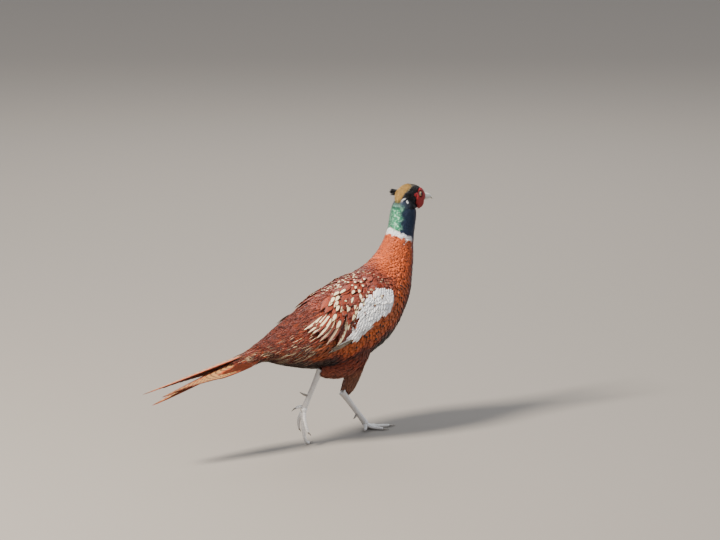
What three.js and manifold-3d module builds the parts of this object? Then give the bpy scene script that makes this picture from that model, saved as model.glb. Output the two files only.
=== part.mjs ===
// A cock common pheasant, walking, as a still life-size museum model.
// Millimetres. The bird faces +X, its left side is +Y and it stands on the floor at z = 0.

import * as THREE from 'three';
import { mergeVertices } from 'three/addons/utils/BufferGeometryUtils.js';
import Module from 'manifold-3d';

const wasm = await Module();
wasm.setup();

// Driving sizes
const gap = 0.3;
const clearance = 0.35;
const ringSpacing = 12;
const degree = Math.PI / 180;

// The trunk from the tail root over the rump, back and shoulders to the top of the neck.
// Each station has the centre of its section, its half depth and its half width.
const trunkStations = [
  { x: -150, z: 167, depth: 15, width: 21 },
  { x: -113, z: 170, depth: 30, width: 36 },
  { x: -58, z: 176, depth: 50, width: 52 },
  { x: 2, z: 188, depth: 68, width: 59 },
  { x: 56, z: 210, depth: 67, width: 58 },
  { x: 99, z: 246, depth: 50, width: 49 },
  { x: 123, z: 285, depth: 33, width: 35 },
  { x: 134, z: 318, depth: 25, width: 25 },
  { x: 138.5, z: 336, depth: 23, width: 22 },
  { x: 143, z: 362, depth: 23, width: 21 },
  { x: 145.5, z: 382, depth: 18.5, width: 16 },
  { x: 147, z: 396, depth: 11, width: 10 },
];
// Distances along the trunk's centre line from the tail root.
const neckStart = 300;
const headStart = 398;

// The head is turned a little to the left of the body, about the top of the neck.
const headPivot = { x: 142, turn: 8 };
const headStations = [
  { x: -15, z: 388, depth: 4, width: 4 },
  { x: -10, z: 388.5, depth: 11.5, width: 8.5 },
  { x: 0, z: 391, depth: 17, width: 13.5 },
  { x: 14, z: 391.5, depth: 20.5, width: 16.5 },
  { x: 27, z: 390.5, depth: 18.5, width: 15.5 },
  { x: 37, z: 388, depth: 15, width: 12 },
  { x: 44, z: 385.5, depth: 11, width: 8.5 },
];
const cheek = { x: 24, z: 380, length: 20, width: 14.5, depth: 15.5 };
const eye = { x: 26.7, y: 11.8, z: 394.6, radius: 5.2 };
const wattle = { x: 30.2, z: 386, length: 14, depth: 18, thickness: 2.2 };
const earTuft = { x: 4, y: 12.5, z: 396, length: 20 };
const bill = { x: 44.6, z: 385, length: 27, drop: 8, depth: 12, width: 5.6, lowerLength: 22 };

// The legs: the feathered shanks, the bare tarsi and the toes.
const shankPaths = {
  right: [
    { x: 40, y: -24, z: 172, radius: 18 },
    { x: 16, y: -31, z: 136, radius: 19 },
    { x: -20, y: -30, z: 122, radius: 13 },
    { x: -44, y: -26, z: 123, radius: 9.5 },
    { x: -52, y: -24, z: 126, radius: 7 },
  ],
  left: [
    { x: 70, y: 18, z: 178, radius: 18 },
    { x: 66, y: 31, z: 122, radius: 18 },
    { x: 58, y: 31, z: 88, radius: 12.5 },
    { x: 46, y: 27, z: 73, radius: 10 },
    { x: 38, y: 25, z: 66, radius: 7 },
  ],
};
const hocks = { right: new THREE.Vector3(-50.5, -24, 127.5), left: new THREE.Vector3(31.5, 23, 69) };
const ankles = { right: new THREE.Vector3(-77.5, -14, 62), left: new THREE.Vector3(73, 14, 12) };
const tarsusRadius = { hock: 6.4, shaft: 4.6, ankle: 5.4 };
const spur = { at: 0.68, length: 13, radius: 2.6 };

// The folded wing: its core, and its vanes in tiers from the ones nearest the body outwards.
// A tier runs from its first root, at the front and lowest, to its last, towards the back.
const wingCore = { front: 262, rear: 128, frontAngle: 74, rearAngle: 62, halfAngle: 25, lift: 3.6 };
const vane = { thickness: 0.8, sink: 0.4, tilt: 0.17, camber: 0.3 };
const wingTiers = [
  // Primaries
  {
    count: 2, width: 17, lift: 1.9, steps: 3,
    first: { distance: 176, angle: 92, length: 96, heading: 6 },
    last: { distance: 160, angle: 84, length: 92, heading: 10 },
  },
  // Secondaries
  {
    count: 6, width: 19, lift: 3.8, steps: 3,
    first: { distance: 232, angle: 85, length: 80, heading: 10 },
    last: { distance: 150, angle: 56, length: 82, heading: 31 },
  },
  // Tertials
  {
    count: 3, width: 21, lift: 6, steps: 3,
    first: { distance: 148, angle: 50, length: 74, heading: 34 },
    last: { distance: 124, angle: 31, length: 64, heading: 28 },
  },
  // Greater coverts
  {
    count: 5, width: 20, lift: 6.2, steps: 2,
    first: { distance: 246, angle: 82, length: 42, heading: 10 },
    last: { distance: 168, angle: 48, length: 46, heading: 32 },
  },
  // Middle coverts
  {
    count: 5, width: 17, lift: 8, steps: 2,
    first: { distance: 254, angle: 78, length: 34, heading: 12 },
    last: { distance: 194, angle: 47, length: 34, heading: 30 },
  },
  // Lesser coverts
  {
    count: 3, width: 18, lift: 9.6, steps: 2,
    first: { distance: 260, angle: 83, length: 26, heading: 14 },
    last: { distance: 230, angle: 55, length: 28, heading: 28 },
  },
  // Shoulder feathers
  {
    count: 3, width: 23, lift: 8, steps: 2,
    first: { distance: 230, angle: 42, length: 42, heading: 26 },
    last: { distance: 146, angle: 27, length: 46, heading: 26 },
  },
];
const tail = {
  length: 238,
  pairs: 6,
  grading: 0.85,
  pitch: 10.3,
  split: 5.4,
  vaneWidth: 22,
  thickness: 0.9,
  rootLength: 34,
  rootDrop: 7,
  coverts: 5,
  covertLength: 50,
  covertWidth: 20,
};

const colours = {
  maroon: 0x7a2d14,
  copper: 0xb4531f,
  green: 0x12402c,
  bronze: 0x1b2a26,
  wattleRed: 0xa3121c,
  horn: 0xa9a394,
  eyeAmber: 0x8a5a1e,
  rust: 0x8c4a22,
  tarsus: 0xc9c2b2,
  claw: 0x6f675a,
  tail: 0x8a6138,
  wing: 0xd8cfc0,
};

// A seeded draw from -1 to 1.
let seed = 7;
function random() {
  seed = (seed * 16807) % 2147483647;
  return (seed / 2147483647) * 2 - 1;
}

function point(x, y, z) {
  return new THREE.Vector3(x, y, z);
}

function material(colour, roughness = 0.7) {
  return new THREE.MeshStandardMaterial({ color: colour, roughness, metalness: 0 });
}

// Solids

// A closed solid from points and triangles that all turn the same way.
function solidOf(points, faces) {
  let volume = 0;
  for (const [a, b, c] of faces) {
    volume += points[a].dot(points[b].clone().cross(points[c]));
  }
  const turned = volume < 0 ? faces.map(([a, b, c]) => [a, c, b]) : faces;
  return new wasm.Manifold(new wasm.Mesh({
    numProp: 3,
    vertProperties: Float32Array.from(points.flatMap((p) => [p.x, p.y, p.z])),
    triVerts: Uint32Array.from(turned.flat()),
  }));
}

// A solid from a three.js geometry.
function solidOfGeometry(geometry) {
  geometry.deleteAttribute('normal');
  geometry.deleteAttribute('uv');
  const merged = mergeVertices(geometry, 1e-4);
  const points = [];
  for (let i = 0; i < merged.attributes.position.count; i += 1) {
    points.push(new THREE.Vector3().fromBufferAttribute(merged.attributes.position, i));
  }
  const faces = [];
  for (let i = 0; i < merged.index.count; i += 3) {
    const face = [0, 1, 2].map((k) => merged.index.getX(i + k));
    if (new Set(face).size === 3) {
      faces.push(face);
    }
  }
  return solidOf(points, faces);
}

// A closed solid through a row of rings with the same number of points, with a flat cap at each end.
function loftSolid(rings) {
  const count = rings[0].length;
  const points = rings.flat();
  const faces = [];
  for (let i = 0; i < rings.length - 1; i += 1) {
    for (let j = 0; j < count; j += 1) {
      const next = (j + 1) % count;
      const a = i * count + j;
      const b = (i + 1) * count + j;
      const c = (i + 1) * count + next;
      const d = i * count + next;
      faces.push([a, b, c], [a, c, d]);
    }
  }
  for (const [ring, start, first] of [[rings[0], 0, true], [rings.at(-1), (rings.length - 1) * count, false]]) {
    const centre = points.length;
    points.push(ring.reduce((sum, p) => sum.add(p), point(0, 0, 0)).divideScalar(count));
    for (let j = 0; j < count; j += 1) {
      const here = start + j;
      const next = start + ((j + 1) % count);
      faces.push(first ? [centre, here, next] : [centre, next, here]);
    }
  }
  return solidOf(points, faces);
}

// A closed sheet with some thickness. Both faces are split into triangles alike.
// place(along, across) gives the outer point, the outward normal and the thickness there,
// with along from 0 to 1 and across from -1 to 1.
function sheetSolid(alongSteps, acrossSteps, place) {
  const rows = alongSteps.length;
  const columns = acrossSteps.length;
  const outer = [];
  const inner = [];
  for (const along of alongSteps) {
    for (const across of acrossSteps) {
      const spot = place(along, across);
      outer.push(spot.point);
      inner.push(spot.point.clone().addScaledVector(spot.normal, -spot.thickness));
    }
  }
  const faces = [];
  const under = outer.length;
  for (let i = 0; i < rows - 1; i += 1) {
    for (let j = 0; j < columns - 1; j += 1) {
      const a = i * columns + j;
      const b = a + columns;
      const c = b + 1;
      const d = a + 1;
      faces.push([a, b, c], [a, c, d], [c + under, b + under, a + under], [d + under, c + under, a + under]);
      if (j === 0) {
        faces.push([b, a, a + under], [b, a + under, b + under]);
      }
      if (j === columns - 2) {
        faces.push([d, c, c + under], [d, c + under, d + under]);
      }
      if (i === 0) {
        faces.push([a, d, d + under], [a, d + under, a + under]);
      }
      if (i === rows - 2) {
        faces.push([c, b, b + under], [c, b + under, c + under]);
      }
    }
  }
  return solidOf([...outer, ...inner], faces);
}

function joined(solids) {
  return solids.reduce((sum, solid) => sum.add(solid));
}

// The largest closed surface of a solid.
function largest(solid) {
  const pieces = solid.decompose();
  return pieces.reduce((best, piece) => (piece.volume() > best.volume() ? piece : best));
}

function meshOf(name, solid, colour, roughness) {
  const { vertProperties, triVerts, numProp } = largest(solid).getMesh();
  const positions = new Float32Array((vertProperties.length / numProp) * 3);
  for (let i = 0; i < positions.length / 3; i += 1) {
    for (let k = 0; k < 3; k += 1) {
      positions[i * 3 + k] = vertProperties[i * numProp + k];
    }
  }
  const geometry = new THREE.BufferGeometry();
  geometry.setAttribute('position', new THREE.BufferAttribute(positions, 3));
  geometry.setIndex(new THREE.BufferAttribute(new Uint32Array(triVerts), 1));
  geometry.computeVertexNormals();
  const mesh = new THREE.Mesh(geometry, material(colour, roughness));
  mesh.name = name;
  return mesh;
}

// Surfaces

// A body form with elliptical sections along a curved centre line in the plane y = 0.
class Form {
  constructor(stations, segments) {
    this.segments = segments;
    this.centres = new THREE.CatmullRomCurve3(stations.map((s) => point(s.x, 0, s.z)));
    this.sizes = new THREE.CatmullRomCurve3(stations.map((s) => point(s.depth, s.width, 0)));
    this.centres.arcLengthDivisions = 400;
    this.length = this.centres.getLength();
  }

  // The section at a distance along the centre line.
  section(distance) {
    const t = this.centres.getUtoTmapping(0, THREE.MathUtils.clamp(distance, 0, this.length));
    const forward = this.centres.getTangent(t);
    const size = this.sizes.getPoint(t);
    const up = point(-forward.z, 0, forward.x);
    return { centre: this.centres.getPoint(t), forward, up, depth: size.x, width: size.y };
  }

  // A point on the surface. The angle runs in degrees from the back over the left side.
  spot(distance, angle, lift = 0) {
    const { centre, up, depth, width } = this.section(distance);
    const c = Math.cos(angle * degree);
    const s = Math.sin(angle * degree);
    const normal = up.clone().multiplyScalar(c / depth).add(point(0, s / width, 0)).normalize();
    const surface = centre.clone().addScaledVector(up, c * depth).add(point(0, s * width, 0));
    return { point: surface.addScaledVector(normal, lift), normal };
  }

  ring(distance, grow = 0) {
    const { centre, up, depth, width } = this.section(distance);
    const points = [];
    for (let j = 0; j < this.segments; j += 1) {
      const angle = (j / this.segments) * 2 * Math.PI;
      const offset = up.clone().multiplyScalar(Math.cos(angle) * (depth + grow));
      points.push(centre.clone().add(offset).add(point(0, Math.sin(angle) * (width + grow), 0)));
    }
    return points;
  }

  solid(from, to, grow = 0, spacing = ringSpacing) {
    const count = Math.max(2, Math.round((to - from) / spacing));
    const rings = [];
    for (let i = 0; i <= count; i += 1) {
      rings.push(this.ring(from + ((to - from) * i) / count, grow));
    }
    return loftSolid(rings);
  }
}

// A round limb through a row of points with a radius each.
function limbSolid(path, sides, steps, grow = 0, flatten = 1) {
  const centres = new THREE.CatmullRomCurve3(path.map((p) => point(p.x, p.y, p.z)));
  const radii = new THREE.CatmullRomCurve3(path.map((p) => point(p.radius, 0, 0)));
  const rings = [];
  for (let i = 0; i <= steps; i += 1) {
    const t = i / steps;
    const centre = centres.getPoint(t);
    const along = centres.getTangent(t);
    const radius = radii.getPoint(t).x + grow;
    const side = point(0, 1, 0).cross(along).normalize();
    const across = along.clone().cross(side).normalize();
    const ring = [];
    for (let j = 0; j < sides; j += 1) {
      const angle = (j / sides) * 2 * Math.PI;
      ring.push(centre.clone()
        .addScaledVector(side, Math.cos(angle) * radius)
        .addScaledVector(across, Math.sin(angle) * radius * flatten));
    }
    rings.push(ring);
  }
  return loftSolid(rings);
}

const trunk = new Form(trunkStations, 28);
const head = new Form(headStations, 20);
const trunkKeepOut = trunk.solid(-0.01, headStart, clearance);

// Head

const headFrame = new THREE.Group();
headFrame.position.set(headPivot.x, 0, 0);
headFrame.rotation.z = headPivot.turn * degree;
headFrame.updateMatrix();
const intoHead = headFrame.matrix.clone().invert();

function ellipsoid(x, y, z, length, width, depth, segments = 16) {
  const geometry = new THREE.SphereGeometry(1, segments, segments * 0.6);
  geometry.scale(length, width, depth);
  geometry.translate(x, y, z);
  return solidOfGeometry(geometry);
}

function neckTop() {
  const rings = [];
  for (let distance = headStart + gap; distance < trunk.length; distance += ringSpacing) {
    rings.push(trunk.ring(distance).map((p) => p.applyMatrix4(intoHead)));
  }
  rings.push(trunk.ring(trunk.length).map((p) => p.applyMatrix4(intoHead)));
  return loftSolid(rings);
}

function headForm(grow) {
  return head.solid(0, head.length, grow, 6)
    .add(ellipsoid(cheek.x, 0, cheek.z, cheek.length + grow, cheek.width + grow, cheek.depth + grow));
}

function eyeBall(side, grow) {
  return ellipsoid(eye.x, side * eye.y, eye.z, eye.radius + grow, eye.radius + grow, eye.radius + grow, 14);
}

function lidRing(side) {
  const geometry = new THREE.TorusGeometry(eye.radius - 0.2, 0.9, 5, 14);
  geometry.rotateX(90 * degree);
  geometry.translate(eye.x, side * (eye.y + 2.9), eye.z);
  return solidOfGeometry(geometry);
}

function headSolid() {
  let solid = headForm(0).add(neckTop());
  for (const side of [1, -1]) {
    solid = solid.add(lidRing(side)).subtract(eyeBall(side, gap));
  }
  return solid;
}

// The bare red skin of the face, raised round the eye and hanging below the cheek.
function wattleSolid(side) {
  const turns = 16;
  const rings = [0, 0.45, 0.8, 1];
  const reach = 30;
  const points = [];
  const faces = [];
  const surface = (r, turn) => {
    const angle = (turn / turns) * 2 * Math.PI;
    const x = wattle.x + wattle.length * r * Math.cos(angle);
    const z = wattle.z + wattle.depth * r * Math.sin(angle);
    return { x, z };
  };
  const sideOf = (x, z) => {
    let best = 0;
    for (let d = 0; d <= head.length; d += 1) {
      const { centre, forward, up, depth, width } = head.section(d);
      const offset = point(x, 0, z).sub(centre);
      if (Math.abs(offset.dot(forward)) < 1) {
        const n = offset.dot(up) / depth;
        best = Math.max(best, width * Math.sqrt(Math.max(0, 1 - n * n)));
      }
    }
    const cx = (x - cheek.x) / cheek.length;
    const cz = (z - cheek.z) / cheek.depth;
    return Math.max(best, cheek.width * Math.sqrt(Math.max(0, 1 - cx * cx - cz * cz)));
  };
  const add = (x, y, z) => points.push(point(x, side * y, z)) - 1;
  const topCentre = add(wattle.x, sideOf(wattle.x, wattle.z) + wattle.thickness, wattle.z);
  const bottomCentre = add(wattle.x, 1, wattle.z);
  const outer = [];
  const inner = [];
  for (const r of rings.slice(1)) {
    const outerRow = [];
    const innerRow = [];
    for (let turn = 0; turn < turns; turn += 1) {
      const { x, z } = surface(r, turn);
      const fold = 1 + 0.22 * r * Math.sin((turn / turns) * 10 * Math.PI);
      const lift = wattle.thickness * fold * Math.sqrt(Math.max(0.02, 1 - r * r * r));
      const y = Math.max(sideOf(x, z), 3) + lift;
      outerRow.push(add(x, y, z));
      innerRow.push(add(x, Math.max(y - lift - 4, 1), z));
    }
    outer.push(outerRow);
    inner.push(innerRow);
  }
  for (let turn = 0; turn < turns; turn += 1) {
    const next = (turn + 1) % turns;
    faces.push([topCentre, outer[0][turn], outer[0][next]]);
    faces.push([bottomCentre, inner[0][next], inner[0][turn]]);
    for (let i = 0; i < outer.length - 1; i += 1) {
      faces.push([outer[i][turn], outer[i + 1][turn], outer[i + 1][next]]);
      faces.push([outer[i][turn], outer[i + 1][next], outer[i][next]]);
      faces.push([inner[i + 1][next], inner[i + 1][turn], inner[i][turn]]);
      faces.push([inner[i][next], inner[i + 1][next], inner[i][turn]]);
    }
    faces.push([outer.at(-1)[turn], inner.at(-1)[turn], inner.at(-1)[next]]);
    faces.push([outer.at(-1)[turn], inner.at(-1)[next], outer.at(-1)[next]]);
  }
  const opening = ellipsoid(eye.x, side * (eye.y + 2.9), eye.z, 6.4, reach, 6.4, 12);
  return solidOf(points, faces).subtract(opening).subtract(headForm(clearance));
}

// One half of the bill, a tapering dome over or under the line of the mouth.
function billHalf(upper) {
  const steps = 8;
  const sides = 10;
  const rings = [];
  const length = upper ? bill.length : bill.lowerLength;
  for (let i = 0; i <= steps; i += 1) {
    const t = i / steps;
    const x = bill.x + length * t;
    const taper = Math.sqrt(1 - 0.96 * t * t);
    const mouth = bill.z - 0.5 - bill.drop * 0.35 * t;
    const height = upper ? bill.depth * 0.62 * taper : -bill.depth * 0.38 * taper;
    const hook = upper ? bill.drop * 0.65 * Math.max(0, (t - 0.8) / 0.2) : 0;
    const offset = upper ? gap / 2 : -gap / 2 - 0.15;
    const width = bill.width * (1 - 0.62 * t) * (t === 1 ? 0.6 : 1);
    const ring = [];
    for (let j = 0; j < sides; j += 1) {
      const angle = (j / (sides - 1)) * Math.PI;
      const y = Math.cos(angle) * width;
      ring.push(point(x, y, mouth + offset - hook + Math.sin(angle) * height));
    }
    rings.push(ring);
  }
  const solid = loftSolid(rings);
  if (!upper) {
    return solid;
  }
  const nostrils = [1, -1].map((side) => ellipsoid(
    bill.x + 6, side * bill.width * 0.86, bill.z + 3.4, 2.6, 1.1, 0.9, 10));
  return nostrils.reduce((sum, nostril) => sum.subtract(nostril), solid);
}

// Legs

function tarsusPath(side) {
  const hock = hocks[side];
  const ankle = ankles[side];
  return [0, 0.2, 0.55, 0.85, 1].map((t, index) => {
    const p = hock.clone().lerp(ankle, t);
    const radius = [tarsusRadius.hock, tarsusRadius.shaft + 0.6, tarsusRadius.shaft,
      tarsusRadius.shaft + 0.4, tarsusRadius.ankle][index];
    return { x: p.x, y: p.y, z: p.z, radius };
  });
}

function tarsusSolid(side, grow = 0) {
  return limbSolid(tarsusPath(side), 12, 7, grow, 0.85);
}

function ball(centre, radius, segments = 9) {
  return ellipsoid(centre.x, centre.y, centre.z, radius, radius, radius, segments);
}

function toeSolid(path) {
  return limbSolid(path, 6, path.length + 1);
}

const toePaths = {
  right: {
    middle: [
      { x: -77.5, y: -14, z: 60, radius: 3.8 },
      { x: -79, y: -13, z: 44, radius: 3.4 },
      { x: -77, y: -12, z: 27, radius: 3 },
      { x: -73, y: -11, z: 10, radius: 2.8 },
      { x: -67, y: -10, z: 2.4, radius: 2.5 },
      { x: -63, y: -9.5, z: 2.1, radius: 2.4 },
    ],
    inner: [
      { x: -77.5, y: -13, z: 60, radius: 3.5 },
      { x: -82, y: -8, z: 48, radius: 3 },
      { x: -81.5, y: -5, z: 36, radius: 2.6 },
      { x: -79, y: -3.5, z: 28, radius: 2 },
    ],
    outer: [
      { x: -77.5, y: -15, z: 60, radius: 3.5 },
      { x: -81, y: -20, z: 47, radius: 3 },
      { x: -80, y: -24, z: 34, radius: 2.6 },
      { x: -77.5, y: -26, z: 25, radius: 2 },
    ],
    hind: [
      { x: -76.5, y: -13, z: 66, radius: 3.2 },
      { x: -84, y: -10, z: 66, radius: 2.7 },
      { x: -90, y: -8, z: 64, radius: 2 },
    ],
  },
  left: {
    middle: [
      { x: 73, y: 14, z: 9, radius: 4.4 },
      { x: 85, y: 12.5, z: 4.6, radius: 3.9 },
      { x: 100, y: 9.5, z: 2.9, radius: 3.4 },
      { x: 118, y: 6, z: 2.2, radius: 2.4 },
    ],
    inner: [
      { x: 73, y: 13, z: 9, radius: 4 },
      { x: 83, y: 5, z: 4, radius: 3.5 },
      { x: 95, y: -7, z: 2.1, radius: 2.3 },
    ],
    outer: [
      { x: 73, y: 15, z: 9, radius: 4 },
      { x: 86, y: 19.5, z: 4, radius: 3.5 },
      { x: 102, y: 25, z: 2.1, radius: 2.3 },
    ],
    hind: [
      { x: 72, y: 12, z: 9, radius: 3.6 },
      { x: 69, y: 7, z: 4.4, radius: 2.9 },
      { x: 65, y: 3, z: 2.2, radius: 2 },
    ],
  },
};
const clawTips = {
  right: {
    middle: point(-52.5, -8, 1),
    inner: point(-74, -2, 20),
    outer: point(-72, -27, 17.5),
    hind: point(-97, -6, 59),
  },
  left: {
    middle: point(130, 3.5, 0.8),
    inner: point(103, -14, 0.8),
    outer: point(112, 28.5, 0.8),
    hind: point(59, -2.5, 0.8),
  },
};

// Nothing reaches below the floor, and what touches it has a small flat.
const belowFloor = solidOfGeometry(new THREE.BoxGeometry(600, 400, 100).translate(0, 0, -50));

function footSolid(side) {
  const toes = Object.values(toePaths[side]).map((path) => toeSolid(path));
  return joined([ball(ankles[side], tarsusRadius.ankle + 0.6), ...toes])
    .subtract(tarsusSolid(side, clearance))
    .subtract(belowFloor);
}

function clawSolid(side, toe) {
  const path = toePaths[side][toe];
  const end = point(path.at(-1).x, path.at(-1).y, path.at(-1).z);
  const curve = new THREE.CatmullRomCurve3(path.map((p) => point(p.x, p.y, p.z)));
  const along = curve.getTangent(1);
  const start = end.clone().addScaledVector(along, gap);
  const tip = clawTips[side][toe];
  const middle = start.clone().lerp(tip, 0.5).add(point(0, 0, 0.8));
  const radius = path.at(-1).radius * 0.8;
  const guide = start.clone().addScaledVector(along, start.distanceTo(tip) * 0.25);
  const stops = [start, guide, middle, tip];
  const sizes = [radius, radius * 0.9, radius * 0.62, 0.35];
  return limbSolid(stops.map((p, i) => ({ x: p.x, y: p.y, z: p.z, radius: sizes[i] })), 7, 5);
}

function spurSolid(side) {
  const root = hocks[side].clone().lerp(ankles[side], spur.at);
  const down = ankles[side].clone().sub(hocks[side]).normalize();
  const back = point(-down.z, 0, down.x).normalize();
  if (back.x > 0) {
    back.negate();
  }
  const inward = side === 'right' ? 0.35 : -0.35;
  const away = back.add(point(0, inward, 0)).normalize();
  const tip = root.clone().addScaledVector(away, spur.length + tarsusRadius.shaft).add(point(0, 0, 2));
  const middle = root.clone().lerp(tip, 0.55).add(point(0, 0, -0.8));
  const stops = [root, middle, tip];
  const sizes = [spur.radius, spur.radius * 0.75, 0.4];
  return limbSolid(stops.map((p, i) => ({ x: p.x, y: p.y, z: p.z, radius: sizes[i] })), 7, 4)
    .subtract(tarsusSolid(side, clearance));
}

function shankSolid(side) {
  return limbSolid(shankPaths[side], 16, 8)
    .subtract(trunkKeepOut)
    .subtract(tarsusSolid(side, clearance));
}

// Feathers

// Half the width of a vane along its length, as a share of the widest.
function vaneOutline(t, pointed) {
  const root = Math.min(1, 0.4 + 3 * t);
  return root * (pointed ? (1 - t) ** 0.55 * 0.92 + 0.08 : Math.sqrt(1 - 0.88 * t ** 5));
}

function evenSteps(count) {
  return Array.from({ length: count + 1 }, (_, i) => i / count);
}

// A vane that lies along the trunk. Its heading turns it from straight back towards the belly.
function trunkVane({ side, distance, angle, length, heading, width, lift, steps }) {
  const root = trunk.spot(distance, side * angle).point;
  const perDistance = root.distanceTo(trunk.spot(distance + 1, side * angle).point);
  const perDegree = root.distanceTo(trunk.spot(distance, side * (angle + 1)).point);
  const back = Math.cos(heading * degree);
  const down = Math.sin(heading * degree);
  return sheetSolid(evenSteps(steps), [-1, 0, 1], (t, c) => {
    const across = c * (width / 2) * vaneOutline(t, false);
    const d = distance - (length * t * back - across * down) / perDistance;
    const a = angle + (length * t * down + across * back) / perDegree;
    const rise = THREE.MathUtils.smoothstep(t, 0, 0.35);
    const flat = THREE.MathUtils.lerp(vane.sink, lift, rise);
    const height = flat + vane.tilt * across * rise + vane.camber * (1 - c * c);
    return { ...trunk.spot(Math.max(d, 1), side * a, height), thickness: vane.thickness };
  });
}

function tierVanes(side, tier) {
  const vanes = [];
  for (let i = 0; i < tier.count; i += 1) {
    const share = tier.count === 1 ? 0 : i / (tier.count - 1);
    const mix = (key) => THREE.MathUtils.lerp(tier.first[key], tier.last[key], share);
    vanes.push(trunkVane({
      side,
      distance: mix('distance'),
      angle: mix('angle'),
      length: mix('length') * (1 + 0.05 * random()),
      heading: mix('heading') + 1.5 * random(),
      width: tier.width,
      lift: tier.lift,
      steps: tier.steps,
    }));
  }
  return vanes;
}

// The muscle and small bones of the folded wing, which carry its vanes.
function wingPad(side) {
  const across = [-1, -0.7, 0, 0.7, 1];
  return sheetSolid(evenSteps(6), across, (t, c) => {
    const distance = THREE.MathUtils.lerp(wingCore.front, wingCore.rear, t);
    const middle = THREE.MathUtils.lerp(wingCore.frontAngle, wingCore.rearAngle, t);
    const rounding = (1 - 0.7 * (2 * t - 1) ** 4) * (1 - 0.7 * c ** 4);
    const spot = trunk.spot(distance, side * (middle + c * wingCore.halfAngle), wingCore.lift * rounding);
    return { ...spot, thickness: wingCore.lift * rounding + 4 };
  });
}

function wingSolid(side) {
  const vanes = wingTiers.flatMap((tier) => tierVanes(side, tier));
  return largest(joined([wingPad(side), ...vanes]).subtract(trunkKeepOut));
}

// A vane that stands free: it runs from its root along a direction and droops a little.
function freeVane({ root, direction, normal, length, width, thickness, droop, steps, pointed }) {
  const across = normal.clone().cross(direction).normalize();
  const face = direction.clone().cross(across).normalize();
  return sheetSolid(evenSteps(steps), [-1, 0, 1], (t, c) => {
    const spot = root.clone()
      .addScaledVector(direction, length * t)
      .addScaledVector(across, c * (width / 2) * vaneOutline(t, pointed))
      .addScaledVector(face, -Math.abs(c) * width * 0.06 * vaneOutline(t, pointed))
      .add(point(0, 0, -droop * t * t));
    return { point: spot, normal: face, thickness };
  });
}

// The tail: a short fleshy root with the paired tail feathers in tiers, the middle pair longest.
function tailSolid() {
  const start = trunk.section(0);
  const rings = [];
  for (const t of [0, 0.35, 0.7, 1]) {
    const centre = start.centre.clone().add(point(-gap - tail.rootLength * t, 0, -tail.rootDrop * t));
    const width = THREE.MathUtils.lerp(start.width, 9, t);
    const depth = THREE.MathUtils.lerp(start.depth, 5, t);
    const ring = [];
    for (let j = 0; j < 16; j += 1) {
      const angle = (j / 16) * 2 * Math.PI;
      ring.push(centre.clone()
        .addScaledVector(start.up, Math.cos(angle) * depth)
        .add(point(0, Math.sin(angle) * width, 0)));
    }
    rings.push(ring);
  }
  const vanes = [];
  for (let pair = 0; pair < tail.pairs; pair += 1) {
    for (const side of [1, -1]) {
      const pitch = -(tail.pitch + (side > 0 ? 0 : tail.split / (1 + pair)) + 0.4 * pair) * degree;
      const spread = side * (0.5 + 0.9 * pair) * degree;
      const roll = side * (9 + 6 * pair) * degree;
      const direction = point(-Math.cos(pitch) * Math.cos(spread), Math.sin(spread), Math.sin(pitch));
      const root = start.centre.clone().add(point(-6 - 2 * pair, side * (3 + 1.6 * pair), 5.5 - 2.3 * pair));
      root.z += side > 0 ? 0.6 : -0.6;
      vanes.push(freeVane({
        root,
        direction,
        normal: point(Math.sin(pitch), Math.sin(roll), Math.cos(roll)),
        length: tail.length * tail.grading ** pair * (side > 0 ? 1 : 0.985),
        width: tail.vaneWidth * (1 - 0.05 * pair),
        thickness: tail.thickness,
        droop: 2 * side,
        steps: pair < 2 ? 6 : 3,
        pointed: true,
      }));
    }
  }
  for (let i = 0; i < tail.coverts; i += 1) {
    const angle = (360 * (i + 0.5)) / tail.coverts * degree;
    const out = point(0, Math.sin(angle), Math.cos(angle));
    const root = start.centre.clone()
      .add(point(-3, out.y * (start.width - 3), out.z * (start.depth - 3)));
    vanes.push(freeVane({
      root,
      direction: point(-1, -0.04 * out.y, -0.17 - 0.01 * out.z).normalize(),
      normal: out.clone().add(point(-0.15, 0, 0)).normalize(),
      length: tail.covertLength * (out.z > 0 ? 1 : 0.8),
      width: tail.covertWidth,
      thickness: tail.thickness,
      droop: 0,
      steps: 2,
      pointed: false,
    }));
  }
  return joined([loftSolid(rings), ...vanes]).subtract(trunkKeepOut);
}

function earTuftSolid(side) {
  const root = point(earTuft.x, side * earTuft.y, earTuft.z);
  const vanes = [-1, 0, 1].map((k) => freeVane({
    root: root.clone().add(point(0, 0, 1.6 * k)),
    direction: point(-0.88, side * (0.3 - 0.05 * k), 0.12 + 0.16 * k).normalize(),
    normal: point(0.3, side * 0.95, 0.1),
    length: earTuft.length - 2.5 * Math.abs(k),
    width: 6,
    thickness: 1,
    droop: 0,
    steps: 3,
    pointed: true,
  }));
  const base = ellipsoid(root.x - 1, root.y, root.z, 5, 3.2, 4, 8);
  return joined([base, ...vanes]).subtract(headForm(clearance));
}

// The whole bird

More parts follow.
